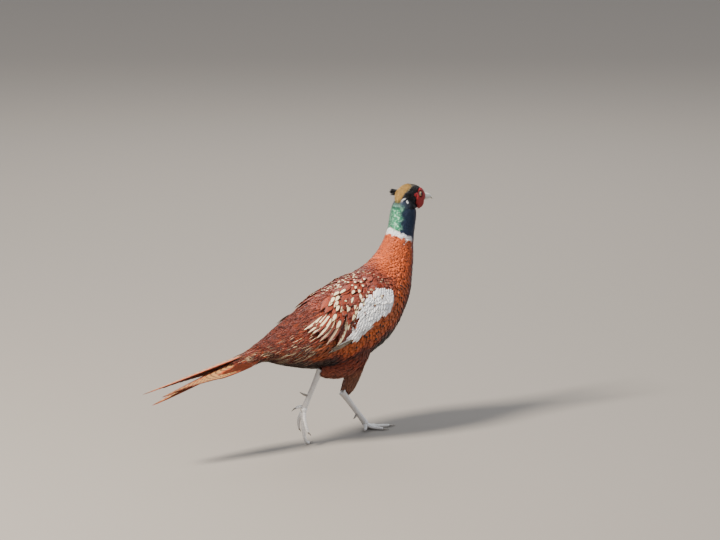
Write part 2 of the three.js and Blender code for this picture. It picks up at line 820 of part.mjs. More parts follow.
const bird = new THREE.Group();
bird.add(meshOf('torso', trunk.solid(0, neckStart), colours.maroon));
bird.add(meshOf('neck', trunk.solid(neckStart + gap, headStart), colours.green));
bird.add(meshOf('tail', tailSolid(), colours.tail));
headFrame.add(meshOf('head', headSolid(), colours.bronze));
headFrame.add(meshOf('bill_upper', billHalf(true).subtract(headForm(clearance)), colours.horn, 0.4));
headFrame.add(meshOf('bill_lower', billHalf(false).subtract(headForm(clearance)), colours.horn, 0.4));
for (const [name, side] of [['left', 1], ['right', -1]]) {
  headFrame.add(meshOf(`eye_${name}`, eyeBall(side, 0), colours.eyeAmber, 0.1));
  headFrame.add(meshOf(`wattle_${name}`, wattleSolid(side), colours.wattleRed));
  headFrame.add(meshOf(`ear_tuft_${name}`, earTuftSolid(side), colours.bronze));
  bird.add(meshOf(`wing_${name}`, wingSolid(side), colours.wing));
  bird.add(meshOf(`shank_${name}`, shankSolid(name), colours.rust));
  bird.add(meshOf(`tarsus_${name}`, tarsusSolid(name), colours.tarsus));
  bird.add(meshOf(`spur_${name}`, spurSolid(name), colours.claw));
  bird.add(meshOf(`foot_${name}`, footSolid(name), colours.tarsus));
  for (const toe of Object.keys(toePaths[name])) {
    bird.add(meshOf(`claw_${name}_${toe}`, clawSolid(name, toe), colours.claw));
  }
}
bird.add(headFrame);

// The origin lies on the floor under the middle of the bird's box.
const box = new THREE.Box3().setFromObject(bird);
const middle = box.getCenter(new THREE.Vector3());
bird.position.set(-middle.x, -middle.y, 0);

export default bird;
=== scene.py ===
"""The looks of a cock common pheasant, a still life-size model.

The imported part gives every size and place. One skin replaces the nodes of flesh, and every
feather is a thin closed vane of its own, in joined pieces named for the parts of the plumage.
Sizes in this file are millimetres in the bird's own frame, where the bird faces +X, its left
side is +Y and the floor is z = 0. They become metres when a mesh is made.
"""

import math

import bmesh
import bpy
import numpy as np
from mathutils import Matrix, Vector
from mathutils.kdtree import KDTree


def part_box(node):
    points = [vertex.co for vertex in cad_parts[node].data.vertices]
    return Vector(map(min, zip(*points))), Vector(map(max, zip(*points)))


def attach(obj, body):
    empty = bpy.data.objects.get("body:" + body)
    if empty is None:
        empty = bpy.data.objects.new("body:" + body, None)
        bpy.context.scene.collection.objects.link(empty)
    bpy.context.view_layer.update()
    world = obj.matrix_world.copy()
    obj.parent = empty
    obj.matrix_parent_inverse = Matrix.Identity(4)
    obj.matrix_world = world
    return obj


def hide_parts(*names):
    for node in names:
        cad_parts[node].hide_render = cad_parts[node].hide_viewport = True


bl_info = {
    "name": "Cock pheasant",
    "version": (1, 0, 0),
    "blender": (4, 5, 0),
    "location": "3D View > Sidebar > Pheasant",
    "description": "Skin, plumage, face and legs of a cock common pheasant",
    "category": "Object",
}

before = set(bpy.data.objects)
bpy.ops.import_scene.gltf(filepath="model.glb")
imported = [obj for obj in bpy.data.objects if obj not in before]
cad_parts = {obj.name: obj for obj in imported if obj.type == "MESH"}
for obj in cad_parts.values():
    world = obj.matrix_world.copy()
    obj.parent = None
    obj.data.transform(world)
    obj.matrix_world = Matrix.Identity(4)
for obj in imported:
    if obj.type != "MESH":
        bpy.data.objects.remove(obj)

# Sizes that the part has too

TRUNK_STATIONS = [
    (-150, 167, 15, 21),
    (-113, 170, 30, 36),
    (-58, 176, 50, 52),
    (2, 188, 68, 59),
    (56, 210, 67, 58),
    (99, 246, 50, 49),
    (123, 285, 33, 35),
    (134, 318, 25, 25),
    (138.5, 336, 23, 22),
    (143, 362, 23, 21),
    (145.5, 382, 18.5, 16),
    (147, 396, 11, 10),
]
TAIL_ROOT_STATIONS = [
    (-236, 151, 3, 8),
    (-192, 159, 7, 13),
]
SHANK_PATHS = {
    -1: [
        (40, -24, 172, 18),
        (16, -31, 136, 19),
        (-20, -30, 122, 13),
        (-44, -26, 123, 9.5),
        (-52, -24, 126, 7),
    ],
    1: [
        (70, 18, 178, 18),
        (66, 31, 122, 18),
        (58, 31, 88, 12.5),
        (46, 27, 73, 10),
        (38, 25, 66, 7),
    ],
}
HEAD_PIVOT_X = 142
HEAD_TURN = 8
EYE = (26.7, 11.8, 394.6)
EYE_RADIUS = 5.2
BILL_ROOT = (44.6, 385)
TAIL_LENGTH = 238
TAIL_PITCH = 10.3
TAIL_SPLIT = 5.4
TAIL_GRADING = 0.85

MM = 0.001
SIDES = (("right", -1), ("left", 1))
TUFT_PATCH = 0.003
random = np.random.default_rng(11)


def settings():
    """The sizes and colours of the panel."""
    return bpy.context.scene.pheasant


# Placing


def frame_shift():
    """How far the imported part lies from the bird's own frame, in millimetres."""
    low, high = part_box("eye_right")
    centre = (Vector(low) + Vector(high)) / (2 * MM)
    turned = Matrix.Rotation(math.radians(HEAD_TURN), 3, "Z") @ Vector((EYE[0], -EYE[1], 0))
    return np.array((centre.x - turned.x - HEAD_PIVOT_X, centre.y - turned.y, 0))


SHIFT = frame_shift()


def to_metres(points):
    """Points of the bird's frame as places in the scene."""
    return (np.asarray(points, float) + SHIFT) * MM


def to_bird(points):
    """Places in the scene as points of the bird's frame."""
    return np.asarray(points, float) / MM - SHIFT


def turn_about_z(points, degrees):
    """Points turned about the upright axis."""
    c, s = math.cos(math.radians(degrees)), math.sin(math.radians(degrees))
    points = np.asarray(points, float)
    x, y = points[..., 0], points[..., 1]
    return np.stack([c * x - s * y, s * x + c * y, points[..., 2]], axis=-1)


def from_head(points):
    """Points of the head's own frame, in the bird's frame."""
    return turn_about_z(points, HEAD_TURN) + np.array((HEAD_PIVOT_X, 0, 0))


def into_head(points):
    """Points of the bird's frame, in the head's own frame."""
    return turn_about_z(np.asarray(points, float) - np.array((HEAD_PIVOT_X, 0, 0)), -HEAD_TURN)


def unit(vectors):
    """Vectors of length one."""
    return vectors / np.maximum(np.linalg.norm(vectors, axis=-1, keepdims=True), 1e-9)


def smooth(low, high, value):
    """A soft step from 0 at low to 1 at high."""
    t = np.clip((value - low) / (high - low), 0, 1)
    return t * t * (3 - 2 * t)


def mix(a, b, share):
    """A number between a and b."""
    return a * (1 - share) + b * share


def tint(a, b, share):
    """Colours between a and b, with a share for every row."""
    share = np.asarray(share, float)[..., None]
    return np.asarray(a, float) * (1 - share) + np.asarray(b, float) * share


def spline(points, samples=900):
    """Even steps of parameter along the centripetal curve through the points."""
    p = np.array(points, float)
    p = np.vstack([2 * p[0] - p[1], p, 2 * p[-1] - p[-2]])
    knots = np.linalg.norm(np.diff(p, axis=0), axis=1) ** 0.5
    t = np.linspace(0, len(p) - 3 - 1e-9, samples)
    i = t.astype(int)
    w = (t - i)[:, None]
    before, here, after = (np.maximum(knots[i + k], 1e-4)[:, None] for k in range(3))
    a, b, c, d = (p[i + k] for k in range(4))
    slope_b = ((b - a) / before - (c - a) / (before + here) + (c - b) / here) * here
    slope_c = ((c - b) / here - (d - b) / (here + after) + (d - c) / after) * here
    bend = 3 * (c - b) - 2 * slope_b - slope_c
    return b + slope_b * w + bend * w**2 + (2 * (b - c) + slope_b + slope_c) * w**3


class Form:
    """A body form with elliptical sections along a curved centre line."""

    def __init__(self, centres, sizes):
        self.line = spline(centres)
        self.sizes = spline(sizes)
        steps = np.linalg.norm(np.diff(self.line, axis=0), axis=1)
        self.run = np.concatenate([[0], np.cumsum(steps)])
        self.length = self.run[-1]
        self.forward = unit(np.gradient(self.line, axis=0))

    def at(self, table, distance):
        """A row of a table at a distance along the centre line."""
        columns = [np.interp(distance, self.run, table[:, k]) for k in range(table.shape[1])]
        return np.stack(columns, axis=-1)

    def spot(self, distance, angle, lift=0.0):
        """Points and normals. The angle runs in degrees from the back over the left side."""
        centre = self.at(self.line, distance)
        forward = unit(self.at(self.forward, distance))
        size = self.at(self.sizes, distance)
        side = unit(np.cross(np.array((0, 0, 1.0)) + 0 * forward, forward))
        up = np.cross(forward, side)
        c = np.cos(np.radians(angle))[..., None]
        s = np.sin(np.radians(angle))[..., None]
        depth, width = size[..., :1], size[..., 1:]
        normal = unit(up * c / depth + side * s / width)
        point = centre + up * c * depth + side * s * width
        return point + normal * np.asarray(lift)[..., None], normal


class UprightForm(Form):
    """A limb that may run straight down, so its back is told by the forward axis."""

    def spot(self, distance, angle, lift=0.0):
        centre = self.at(self.line, distance)
        forward = unit(self.at(self.forward, distance))
        size = self.at(self.sizes, distance)
        up = unit(np.cross(forward, np.array((0, 1.0, 0)) + 0 * forward))
        side = np.cross(forward, up)
        c = np.cos(np.radians(angle))[..., None]
        s = np.sin(np.radians(angle))[..., None]
        normal = unit(up * c + side * s)
        return centre + normal * (size[..., :1] + np.asarray(lift)[..., None]), normal


def body_form(stations):
    """The form through body stations."""
    return Form([(x, 0, z) for x, z, _, _ in stations], [(d, w) for _, _, d, w in stations])


TRUNK = body_form(TRUNK_STATIONS)
TAILED = body_form(TAIL_ROOT_STATIONS + TRUNK_STATIONS)
TAIL_RUN = TAILED.length - TRUNK.length
SHANKS = {
    side: UprightForm([p[:3] for p in path], [(p[3], p[3]) for p in path])
    for side, path in SHANK_PATHS.items()
}


class Lookup:
    """The nearest distance and angle on the trunk for any point."""

    def __init__(self):
        distance = np.arange(0, TRUNK.length, 2.5)
        angle = np.arange(-180, 180, 4.0)
        self.pairs = np.stack(np.meshgrid(distance, angle, indexing="ij"), axis=-1).reshape(-1, 2)
        points, _ = TRUNK.spot(self.pairs[:, 0], self.pairs[:, 1])
        self.tree = KDTree(len(points))
        for i, p in enumerate(points):
            self.tree.insert(p, i)
        self.tree.balance()

    def find(self, points):
        """Distance and angle for each point."""
        return self.pairs[[self.tree.find(p)[1] for p in points]]


def wing_dome(distance, angle):
    """How far the folded wing stands off the trunk, in millimetres."""
    off = np.abs(np.abs(angle) - 66) / 29
    ends = smooth(116, 156, distance) * (1 - smooth(238, 268, distance))
    return settings().wing_depth / MM * (1 - smooth(0.5, 1.05, off)) * ends


# Plumage

DARK = (0.006, 0.006, 0.008)
SOOT = (0.018, 0.013, 0.012)
UMBER = (0.07, 0.028, 0.014)
PURPLE = (0.045, 0.022, 0.075)
GREY = (0.42, 0.41, 0.40)
# Pale green painted on some neck and nape feathers as the highlight of their gloss
PAINTED_HIGHLIGHT_GREEN = (0.5, 0.85, 0.62)
NAPE_GREEN = (0.07, 0.2, 0.06)
BUFF = (0.6, 0.42, 0.27)
SHANK_BROWN = (0.3, 0.13, 0.065)


def blank(count):
    """Plain paint for a number of feathers. Every feather has its own row.

    marks holds the strength of the edge, the spot, the ring round the spot and the bars.
    spot holds the place of the spot along the vane and its half length and half width.
    """
    return {
        "base": np.tile(settings().copper, (count, 1)).astype(float),
        "mid": np.tile(settings().cream, (count, 1)).astype(float),
        "edge": np.tile(DARK, (count, 1)).astype(float),
        "marks": np.zeros((count, 4)),
        "spot": np.tile((0.72, 0.2, 0.5), (count, 1)),
        "gloss": np.zeros(count),
    }


def set_mark(paint, column, value, where):
    """Strength of one mark where a mask is high."""
    paint["marks"][:, column] = mix(paint["marks"][:, column], value, where)


def trunk_paint(distance, angle, speck):
    """Colours and marks of the body feathers by their place on the trunk.

    speck is a seeded draw from 0 to 1 for each feather.
    """
    s = settings()
    away = np.abs(angle)
    paint = blank(len(distance))
    base, mid, edge = paint["base"], paint["mid"], paint["edge"]
    wave = 5 * np.sin(distance * 0.13 + away * 0.05)

    chestnut = smooth(300, 262, distance + 0.25 * (away - 60))
    base[:] = tint(base, s.chestnut, chestnut * (1 - smooth(66, 92, away)))
    rump = smooth(150, 104, distance + wave) * (1 - smooth(96, 126, away))
    base[:] = tint(base, s.rust, rump)
    base[:] = tint(base, s.maroon, rump * (speck > 0.66) * 0.6)
    breast = smooth(214, 262, distance) * smooth(104, 128, away) * (1 - smooth(312, 330, distance))
    base[:] = tint(base, s.maroon, breast * 0.8)
    flank = smooth(300, 250, distance) * smooth(78, 92, away) * (1 - smooth(108, 122, away + wave))
    base[:] = tint(base, s.amber, flank * 0.5)
    under = smooth(262, 222, distance) * smooth(114, 126, away + wave)
    base[:] = tint(base, s.maroon, under * 0.9)
    base[:] = tint(base, SOOT, under * smooth(122, 136, away + wave))
    vent = smooth(128, 92, distance) * smooth(112, 134, away)
    base[:] = tint(base, UMBER, vent * 0.85)
    base *= (0.62 + 0.6 * speck)[:, None]

    spotted = smooth(132, 160, distance) * (1 - smooth(258, 276, distance)) * (1 - smooth(44, 54, away))
    spotted = spotted * (speck > mix(0.62, 0.76, smooth(200, 256, distance)))
    set_mark(paint, 1, 0.95, spotted)
    set_mark(paint, 2, 0.6, spotted)
    paint["spot"][:] = tint(paint["spot"], (0.82, 0.13, 0.34), spotted)
    flecks = smooth(256, 284, distance) * (1 - smooth(344, 352, distance)) * (speck > 0.68)
    mid[:] = tint(mid, DARK, smooth(258, 276, distance))
    mid[:] = tint(mid, DARK, smooth(60, 76, away))
    set_mark(paint, 1, 0.9, flecks)
    paint["spot"][:] = tint(paint["spot"], (0.93, 0.09, 0.26), flecks)
    dots = flank * (speck > 0.8) + smooth(76, 92, away) * smooth(226, 250, distance) * (speck > 0.7)
    dots = np.clip(dots, 0, 1) * (1 - smooth(290, 320, distance))
    set_mark(paint, 1, 1, dots)
    paint["spot"][:] = tint(paint["spot"], (0.88, 0.17, 0.56), dots)
    set_mark(paint, 0, 0.75, rump * (speck < 0.5))
    set_mark(paint, 0, 0.6, (distance > 150) * (away < 120) * (speck < 0.4))
    edge[:] = tint(edge, s.maroon, smooth(270, 300, distance))
    set_mark(paint, 0, 0.55, breast)
    edge[:] = tint(edge, PURPLE, breast)

    front = smooth(114, 124, away)
    low = np.interp(away, (0, 150), (359, 351)) + 0.8 * np.sin(away * 0.21)
    high = low + np.interp(away, (0, 110), (10, 5.5))
    collar = smooth(low - 1.5, low + 0.5, distance) * (1 - smooth(high, high + 1.5, distance))
    neck = smooth(high, high + 1.5, distance)
    collar = collar * (1 - front)
    neck = np.maximum(neck, smooth(low, low + 3, distance) * front)
    green = 1 - smooth(30, 62, away + 6 * np.sin(distance * 0.4))
    hue = tint(s.neck_blue, s.neck_green, green)
    # Painted highlight: pale green on some feathers of the green neck
    hue = tint(hue, PAINTED_HIGHLIGHT_GREEN, green * (speck > 0.62) * 0.5)
    hue = tint(hue, PURPLE, smooth(104, 140, away) * 0.6)
    base[:] = tint(base, hue, neck)
    paint["gloss"] = neck * 0.85 + 0.25 * breast
    base[:] = tint(base, s.white, collar)
    for column in range(3):
        set_mark(paint, column, 0, np.maximum(neck, collar))
    fleck = (speck > 0.93) * smooth(338, 346, distance) * (1 - neck) * smooth(60, 90, away)
    base[:] = tint(base, s.white, fleck)
    shade = smooth(262, 340, distance) * smooth(110, 128, away) * (1 - neck)
    base[:] = tint(base, PURPLE, shade * 0.8)
    return paint


def head_paint(points, speck):
    """Colours of the head's small feathers, from places in the head's own frame."""
    s = settings()
    x, y, z = points[:, 0], np.abs(points[:, 1]), points[:, 2]
    paint = blank(len(points))
    base = paint["base"]
    base[:] = tint(s.neck_blue, DARK, smooth(-14, 10, x))
    nape = smooth(-2, -12, x) * (1 - smooth(374, 386, z)) * (1 - smooth(9, 15, y))
    base[:] = tint(base, s.neck_green, nape)
    # Painted highlight: pale green on some nape feathers
    base[:] = tint(base, PAINTED_HIGHLIGHT_GREEN, nape * (speck > 0.62) * 0.5)
    brow = np.interp(x, (-14, -8, -2, 4.5, 10.5, 20), (386, 393, 399, 403.5, 406.5, 410))
    bronze = smooth(brow - 1, brow + 1, z + 0.06 * (9 - y)) * (1 - smooth(16, 20, x))
    bronze = np.maximum(bronze, smooth(-10, -13, x) * smooth(380, 392, z) * (1 - smooth(6, 10, y)))
    base[:] = tint(base, s.bronze, bronze)
    base[:] = tint(base, NAPE_GREEN, bronze * smooth(396, 380, z) * 0.9)
    line = np.exp(-(((z - brow + 1) / 1.2) ** 2)) * (1 - smooth(24, 30, x)) * (speck > 0.45) * (x > -4)
    base[:] = tint(base, s.cream, line * 0.35)
    first = ((x + 4.5) / 4.8) ** 2 + ((z - 391 - 0.38 * (x + 4.5)) / 1.8) ** 2
    second = ((x - 1) / 1.5) ** 2 + ((z - 386) / 2.2) ** 2
    patch = np.minimum(first, second)
    base[:] = tint(base, s.white, smooth(1.4, 0.9, patch) * (y > 3.5))
    base *= (0.8 + 0.4 * speck)[:, None]
    paint["gloss"] = np.where(bronze > 0.5, 0.2, 0.7)
    return paint


# Meshes


def add_object(name, data):
    """A new object in the scene."""
    obj = bpy.data.objects.new(name, data)
    bpy.context.scene.collection.objects.link(obj)
    return obj


def build_mesh(name, vertices, faces):
    """An object from points in the bird's frame and faces with the same number of corners."""
    faces = np.asarray(faces, dtype=np.int32)
    corners = faces.shape[1]
    mesh = bpy.data.meshes.new(name)
    mesh.vertices.add(len(vertices))
    mesh.vertices.foreach_set("co", to_metres(vertices).astype(np.float32).ravel())
    mesh.loops.add(faces.size)
    mesh.loops.foreach_set("vertex_index", faces.ravel())
    mesh.polygons.add(len(faces))
    mesh.polygons.foreach_set("loop_start", np.arange(0, faces.size, corners, dtype=np.int32))
    mesh.polygons.foreach_set("use_smooth", np.ones(len(faces), dtype=bool))
    mesh.update(calc_edges=True)
    return add_object(name, mesh)


def add_map(obj, name, places):
    """A UV map from one place for every vertex."""
    mesh = obj.data
    corners = np.empty(len(mesh.loops), dtype=np.int32)
    mesh.loops.foreach_get("vertex_index", corners)
    layer = mesh.uv_layers.new(name=name)
    layer.data.foreach_set("uv", places[corners].astype(np.float32).ravel())


def add_colours(obj, name, values):
    """A colour attribute from one row, or one number as a grey, for every vertex."""
    values = np.asarray(values, float)
    if values.ndim == 1:
        values = np.repeat(values[:, None], 3, axis=1)
    full = np.ones((len(values), 4), dtype=np.float32)
    full[:, : values.shape[1]] = values
    layer = obj.data.attributes.new(name, "FLOAT_COLOR", "POINT")
    layer.data.foreach_set("color", full.ravel())


def finish_piece(obj, material, slot, *nodes):
    """Gives a piece its material, puts it under the root body and hides the nodes it stands for. The slot is
    not used.
    """
    obj.data.materials.clear()
    obj.data.materials.append(material)
    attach(obj, "root")
    if nodes:
        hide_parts(*nodes)
    return obj


def vane_faces(rows, columns):
    """Faces of one closed vane: an upper and a lower side that share their rim."""
    upper = np.arange(rows * columns).reshape(rows, columns)
    lower = upper.copy()
    inner = (rows - 2) * (columns - 2)
    lower[1:-1, 1:-1] = rows * columns + np.arange(inner).reshape(rows - 2, columns - 2)

    def quads(grid):
        corners = (grid[:-1, :-1], grid[1:, :-1], grid[1:, 1:], grid[:-1, 1:])
        return np.stack(corners, axis=-1).reshape(-1, 4)

    return np.vstack([quads(upper), quads(lower)[:, ::-1]])


class Vanes:
    """Local grids of a number of vanes: how far along and across each point lies."""

    def __init__(self, length, width, rows=7, columns=5, pointed=0.0, ragged=0.06, blunt=5.0):
        self.count = len(length)
        self.rows = rows
        self.columns = columns
        self.length = np.asarray(length, float)[:, None, None]
        self.width = np.asarray(width, float)[:, None, None]
        t = np.linspace(0, 1, rows)[None, :, None]
        c = np.linspace(-1, 1, columns)[None, None, :]
        shape = (self.count, rows, columns)
        fray = random.uniform(-1, 1, (self.count, 1, columns)) * ragged
        self.share = np.broadcast_to(np.clip(t * (1 + fray * t**2), 0, None), shape)
        self.side = np.broadcast_to(c, shape)
        root = np.minimum(1, 0.3 + 2.6 * t)
        rounded = np.sqrt(np.clip(1 - 0.97 * t**blunt, 0, 1))
        sharp = (1 - t) ** 0.6 * 0.96 + 0.04
        outline = root * mix(rounded, sharp, pointed)
        notch = 1 + random.uniform(-1, 1, shape) * ragged * (np.abs(c) > 0.9)
        self.across = c * outline * notch * self.width / 2
        self.along = self.share * self.length * (1 - 0.16 * c**2 * (t > 0.6) * (1 - pointed))

    def each(self, *values):
        """Numbers, or one number for every vane, shaped to meet the vanes' grids."""
        return (np.broadcast_to(np.asarray(v, float), (self.count,))[:, None, None] for v in values)

    def on_form(self, form, distance, angle, heading, low, high, tilt=0.0, camber=0.3, curl=0.0):
        """Lays the vanes along a form, from their roots at low to their tips at high."""
        distance, angle, heading, tilt, curl = self.each(distance, angle, heading, tilt, curl)
        low, high = self.each(low, high)
        root, _ = form.spot(distance, angle)
        ahead, _ = form.spot(distance + 1, angle)
        around, _ = form.spot(distance, angle + 1)
        per_distance = np.linalg.norm(ahead - root, axis=-1)
        per_degree = np.maximum(np.linalg.norm(around - root, axis=-1), 0.05)
        side = np.where(angle < 0, -1, 1)
        turn = np.radians(heading) * side
        bent = self.across + curl * self.share**2 * self.length
        back = self.along * np.cos(turn) - bent * np.sin(turn)
        around = self.along * np.sin(turn) + bent * np.cos(turn)
        rise = smooth(0, 0.9, self.share) * 0.6 + 0.4 * self.share
        height = mix(low, high, rise) + tilt * side * self.across + camber * (1 - self.side**2)
        place = np.clip(distance - back / per_distance, 1, form.length - 0.5)
        self.points, self.normals = form.spot(place, angle + around / per_degree, height)
        return self

    def free(self, root, direction, normal, droop=0.0, camber=0.05, wave=0.0, sweep=0.0):
        """Stands the vanes free, each from its root along its direction."""
        root, direction, normal = (np.asarray(v, float)[:, None, None, :] for v in (root, direction, normal))
        across = unit(np.cross(normal + 0 * direction, direction))
        face = unit(np.cross(direction, across))
        droop, camber, sweep = self.each(droop, camber, sweep)
        ripple = wave * np.sin(self.share * 9 + np.arange(self.count)[:, None, None] * 1.7)
        height = camber * self.width * (1 - self.side**2) + ripple
        sideways = self.across + sweep * self.share**2
        self.points = (
            root
            + direction * self.along[..., None]
            + across * sideways[..., None]
            + face * height[..., None]
            - np.array((0, 0, 1.0)) * (droop * self.share**2)[..., None]
        )
        self.normals = np.broadcast_to(face, self.points.shape)
        return self


def vane_piece(name, groups, material, slot, *nodes, thickness=0.35):
    """One object from groups of vanes, each a triple of vanes, paint and unwrap places."""
    vertices, faces, local, bake = [], [], [], []
    colours = {key: [] for key in ("base", "mid", "edge", "marks", "spot", "gloss")}
    start = 0
    for vanes, paint, places in groups:
        inner = np.s_[:, 1:-1, 1:-1]
        depth = thickness * (1 - vanes.side[inner] ** 2) * (1 - 0.5 * vanes.share[inner]) + 0.04
        under = vanes.points[inner] - vanes.normals[inner] * depth[..., None]
        upper = vanes.points.reshape(vanes.count, -1, 3)
        block = np.concatenate([upper, under.reshape(vanes.count, -1, 3)], axis=1)
        per = block.shape[1]
        template = vane_faces(vanes.rows, vanes.columns)
        first = vanes.points[0]
        turn = np.cross(first[1, 0] - first[0, 0], first[0, 1] - first[0, 0])
        if turn @ vanes.normals[0, 0, 0] < 0:
            template = template[:, ::-1]
        offsets = start + np.arange(vanes.count)[:, None, None] * per
        faces.append((template[None] + offsets).reshape(-1, 4))
        vertices.append(block.reshape(-1, 3))
        uv = np.stack([(vanes.side + 1) / 2, vanes.share], axis=-1)
        uv = np.concatenate([uv.reshape(vanes.count, -1, 2), uv[inner].reshape(vanes.count, -1, 2)], axis=1)
        local.append(uv.reshape(-1, 2))
        patch = (uv - 0.5) * TUFT_PATCH + np.asarray(places)[:, None, :]
        bake.append(patch.reshape(-1, 2))
        for key, rows_of in colours.items():
            rows_of.append(np.repeat(paint[key], per, axis=0))
        start += vanes.count * per
    obj = build_mesh(name, np.concatenate(vertices), np.concatenate(faces))
    add_map(obj, "Vane", np.concatenate(local))
    add_map(obj, "OFBake", np.concatenate(bake))
    for key, rows_of in colours.items():
        add_colours(obj, key, np.concatenate(rows_of))
    return finish_piece(obj, material, slot, *nodes)


def trunk_unwrap(distance, angle):
    """Where a root lies on an unwrap of the trunk, cut open along the belly."""
    u = 0.01 + 0.98 * np.clip(np.asarray(distance) / TRUNK.length, 0, 1)
    v = 0.01 + 0.98 * (np.asarray(angle) % 360 + 180) % 360 / 360
    return np.stack(np.broadcast_arrays(u, v), axis=-1)


# Materials


class Value:
    """A number inside a material, written as an expression."""

    def __init__(self, finish, socket):
        self.finish = finish
        self.socket = socket

    def __add__(self, other):
        return self.finish.maths("ADD", self, other)

    __radd__ = __add__

    def __sub__(self, other):
        return self.finish.maths("SUBTRACT", self, other)

    def __rsub__(self, other):
        return self.finish.maths("SUBTRACT", other, self)

    def __mul__(self, other):
        return self.finish.maths("MULTIPLY", self, other)

    __rmul__ = __mul__

    def __truediv__(self, other):
        return self.finish.maths("DIVIDE", self, other)

    def __pow__(self, other):
        return self.finish.maths("POWER", self, other)

    def __abs__(self):
        return self.finish.maths("ABSOLUTE", self)


class Finish:
    """A material and its nodes."""

    def __init__(self, name, **constants):
        self.material = bpy.data.materials.new(name)
        self.material.use_nodes = True
        self.tree = self.material.node_tree
        self.shader = self.tree.nodes["Principled BSDF"]
        for socket, value in constants.items():
            self.shader.inputs[socket.replace("_", " ")].default_value = value

    def node(self, kind, options=None, values=None):
        """Any node: its type, its options, and the values or links of its sockets."""
        node = self.tree.nodes.new(kind)
        for name, value in (options or {}).items():
            if name == "stops":
                for element, (place, colour) in zip(node.color_ramp.elements, value):
                    element.position = place
                    element.color = colour
            else:
                setattr(node, name, value)
        for name, value in (values or {}).items():
            self.feed(node.inputs[name], value)
        return node

    def feed(self, socket, value):
        """Links a value to a socket or sets it."""
        if isinstance(value, Value):
            self.tree.links.new(value.socket, socket)
        elif hasattr(value, "links"):
            self.tree.links.new(value, socket)
        else:
            socket.default_value = value

    def maths(self, operation, *values):
        """A Math node, with its result as a value."""
        node = self.node("ShaderNodeMath", {"operation": operation}, dict(enumerate(values)))
        return Value(self, node.outputs[0])

    def step(self, low, high, value):
        """A soft step of a value, from 0 at low to 1 at high."""
        values = {"Value": value, "From Min": low, "From Max": high}
        node = self.node("ShaderNodeMapRange", {"interpolation_type": "SMOOTHSTEP"}, values)
        return Value(self, node.outputs["Result"])

    def blend(self, a, b, share, mode="MIX"):
        """A colour between two colours."""
        node = self.node("ShaderNodeMix", {"data_type": "RGBA", "blend_type": mode, "clamp_factor": True})
        self.feed(node.inputs["Factor"], share)
        self.feed(node.inputs[6], a)
        self.feed(node.inputs[7], b)
        return node.outputs[2]

    def attribute(self, name):
        """The colour, factor and alpha of an attribute."""
        node = self.node("ShaderNodeAttribute", {"attribute_name": name})
        return node.outputs

    def channels(self, name):
        """The three parts of a colour attribute, and its alpha, as values."""
        source = self.attribute(name)
        split = self.node("ShaderNodeSeparateColor", None, {"Color": source["Color"]})
        return [Value(self, split.outputs[k]) for k in range(3)] + [Value(self, source["Alpha"])]

    def noise(self, scale, detail=3.0):
        """Noise by place on the object."""
        place = self.node("ShaderNodeTexCoord").outputs["Object"]
        node = self.node("ShaderNodeTexNoise", None, {"Vector": place, "Scale": scale, "Detail": detail})
        return Value(self, node.outputs["Fac"])

    def bump(self, height, strength, distance):
        """Feeds a height to the shader's normal."""
        values = {"Height": height, "Strength": strength, "Distance": distance}
        node = self.node("ShaderNodeBump", None, values)
        self.feed(self.shader.inputs["Normal"], node.outputs["Normal"])

    def put(self, **links):
        """Feeds the shader's own sockets."""
        for socket, value in links.items():
            self.feed(self.shader.inputs[socket.replace("_", " ")], value)


def feather_finish(name, bars=17.0, barbs=34.0, streak=0.35, roughness=0.55):
    """A feather: its spot, ring, bars, shaft and edge by the place on the vane."""
    finish = Finish(name, Specular_IOR_Level=0.35, Sheen_Weight=0.08, Sheen_Roughness=0.5)
    place = finish.node("ShaderNodeUVMap", {"uv_map": "Vane"}).outputs[0]
    parts = finish.node("ShaderNodeSeparateXYZ", None, {"Vector": place})
    across = abs(Value(finish, parts.outputs["X"]) * 2 - 1)
    along = Value(finish, parts.outputs["Y"])
    edge_mark, spot_mark, ring_mark, bar_mark = finish.channels("marks")
    spot_place, spot_length, spot_width, _ = finish.channels("spot")
    grain = finish.noise(420.0, 3.0)
    beyond = finish.maths("MAXIMUM", along - 0.35, 0.0) / 0.65
    rim = across * across + beyond * beyond + (grain - 0.5) * 0.35
    oval = ((along - spot_place) / spot_length) ** 2 + (across / spot_width) ** 2 + (grain - 0.5) * 0.5
    edge = finish.attribute("edge")["Color"]
    ring = (1 - finish.step(1.2, 2.1, oval)) * ring_mark
    colour = finish.blend(finish.attribute("base")["Color"], edge, ring)
    spot = (1 - finish.step(0.75, 1.1, oval)) * spot_mark
    colour = finish.blend(colour, finish.attribute("mid")["Color"], spot)
    slanted = finish.maths("SINE", (along + across * 0.06) * (bars * 2 * math.pi) + grain * 2)
    bar = finish.step(0.25, 0.7, slanted) * bar_mark * (1 - finish.step(0.7, 0.95, across))
    colour = finish.blend(colour, edge, bar)
    colour = finish.blend(colour, edge, finish.step(0.72, 1.05, rim) * edge_mark)
    barb = finish.maths("SINE", (along * 1.6 - across * 0.55) * (barbs * 2 * math.pi) + grain * 5)
    shade = 1 - streak * 0.5 + barb * (streak * 0.3) + (grain - 0.5) * streak
    shaft = 1 - finish.step(0.03, 0.09, across)
    shade = shade * (1 - shaft * 0.25)
    dull = finish.node("ShaderNodeCombineColor", None, {"Red": shade, "Green": shade, "Blue": shade})
    colour = finish.blend(colour, dull.outputs[0], 1.0, "MULTIPLY")
    gloss = finish.channels("gloss")[0]
    finish.put(Base_Color=colour, Metallic=gloss * 0.75, Roughness=roughness - gloss * 0.2)
    finish.bump(barb * 0.5 + shaft, 0.25, 0.0003)
    return finish.material


def skin_finish(name):
    """The skin under the coat, with the coat's own colours."""
    finish = Finish(name, Roughness=0.8, Specular_IOR_Level=0.2)
    grain = finish.noise(300.0, 3.0)
    finish.put(Base_Color=finish.attribute("base")["Color"])
    finish.bump(grain, 0.5, 0.001)
    return finish.material


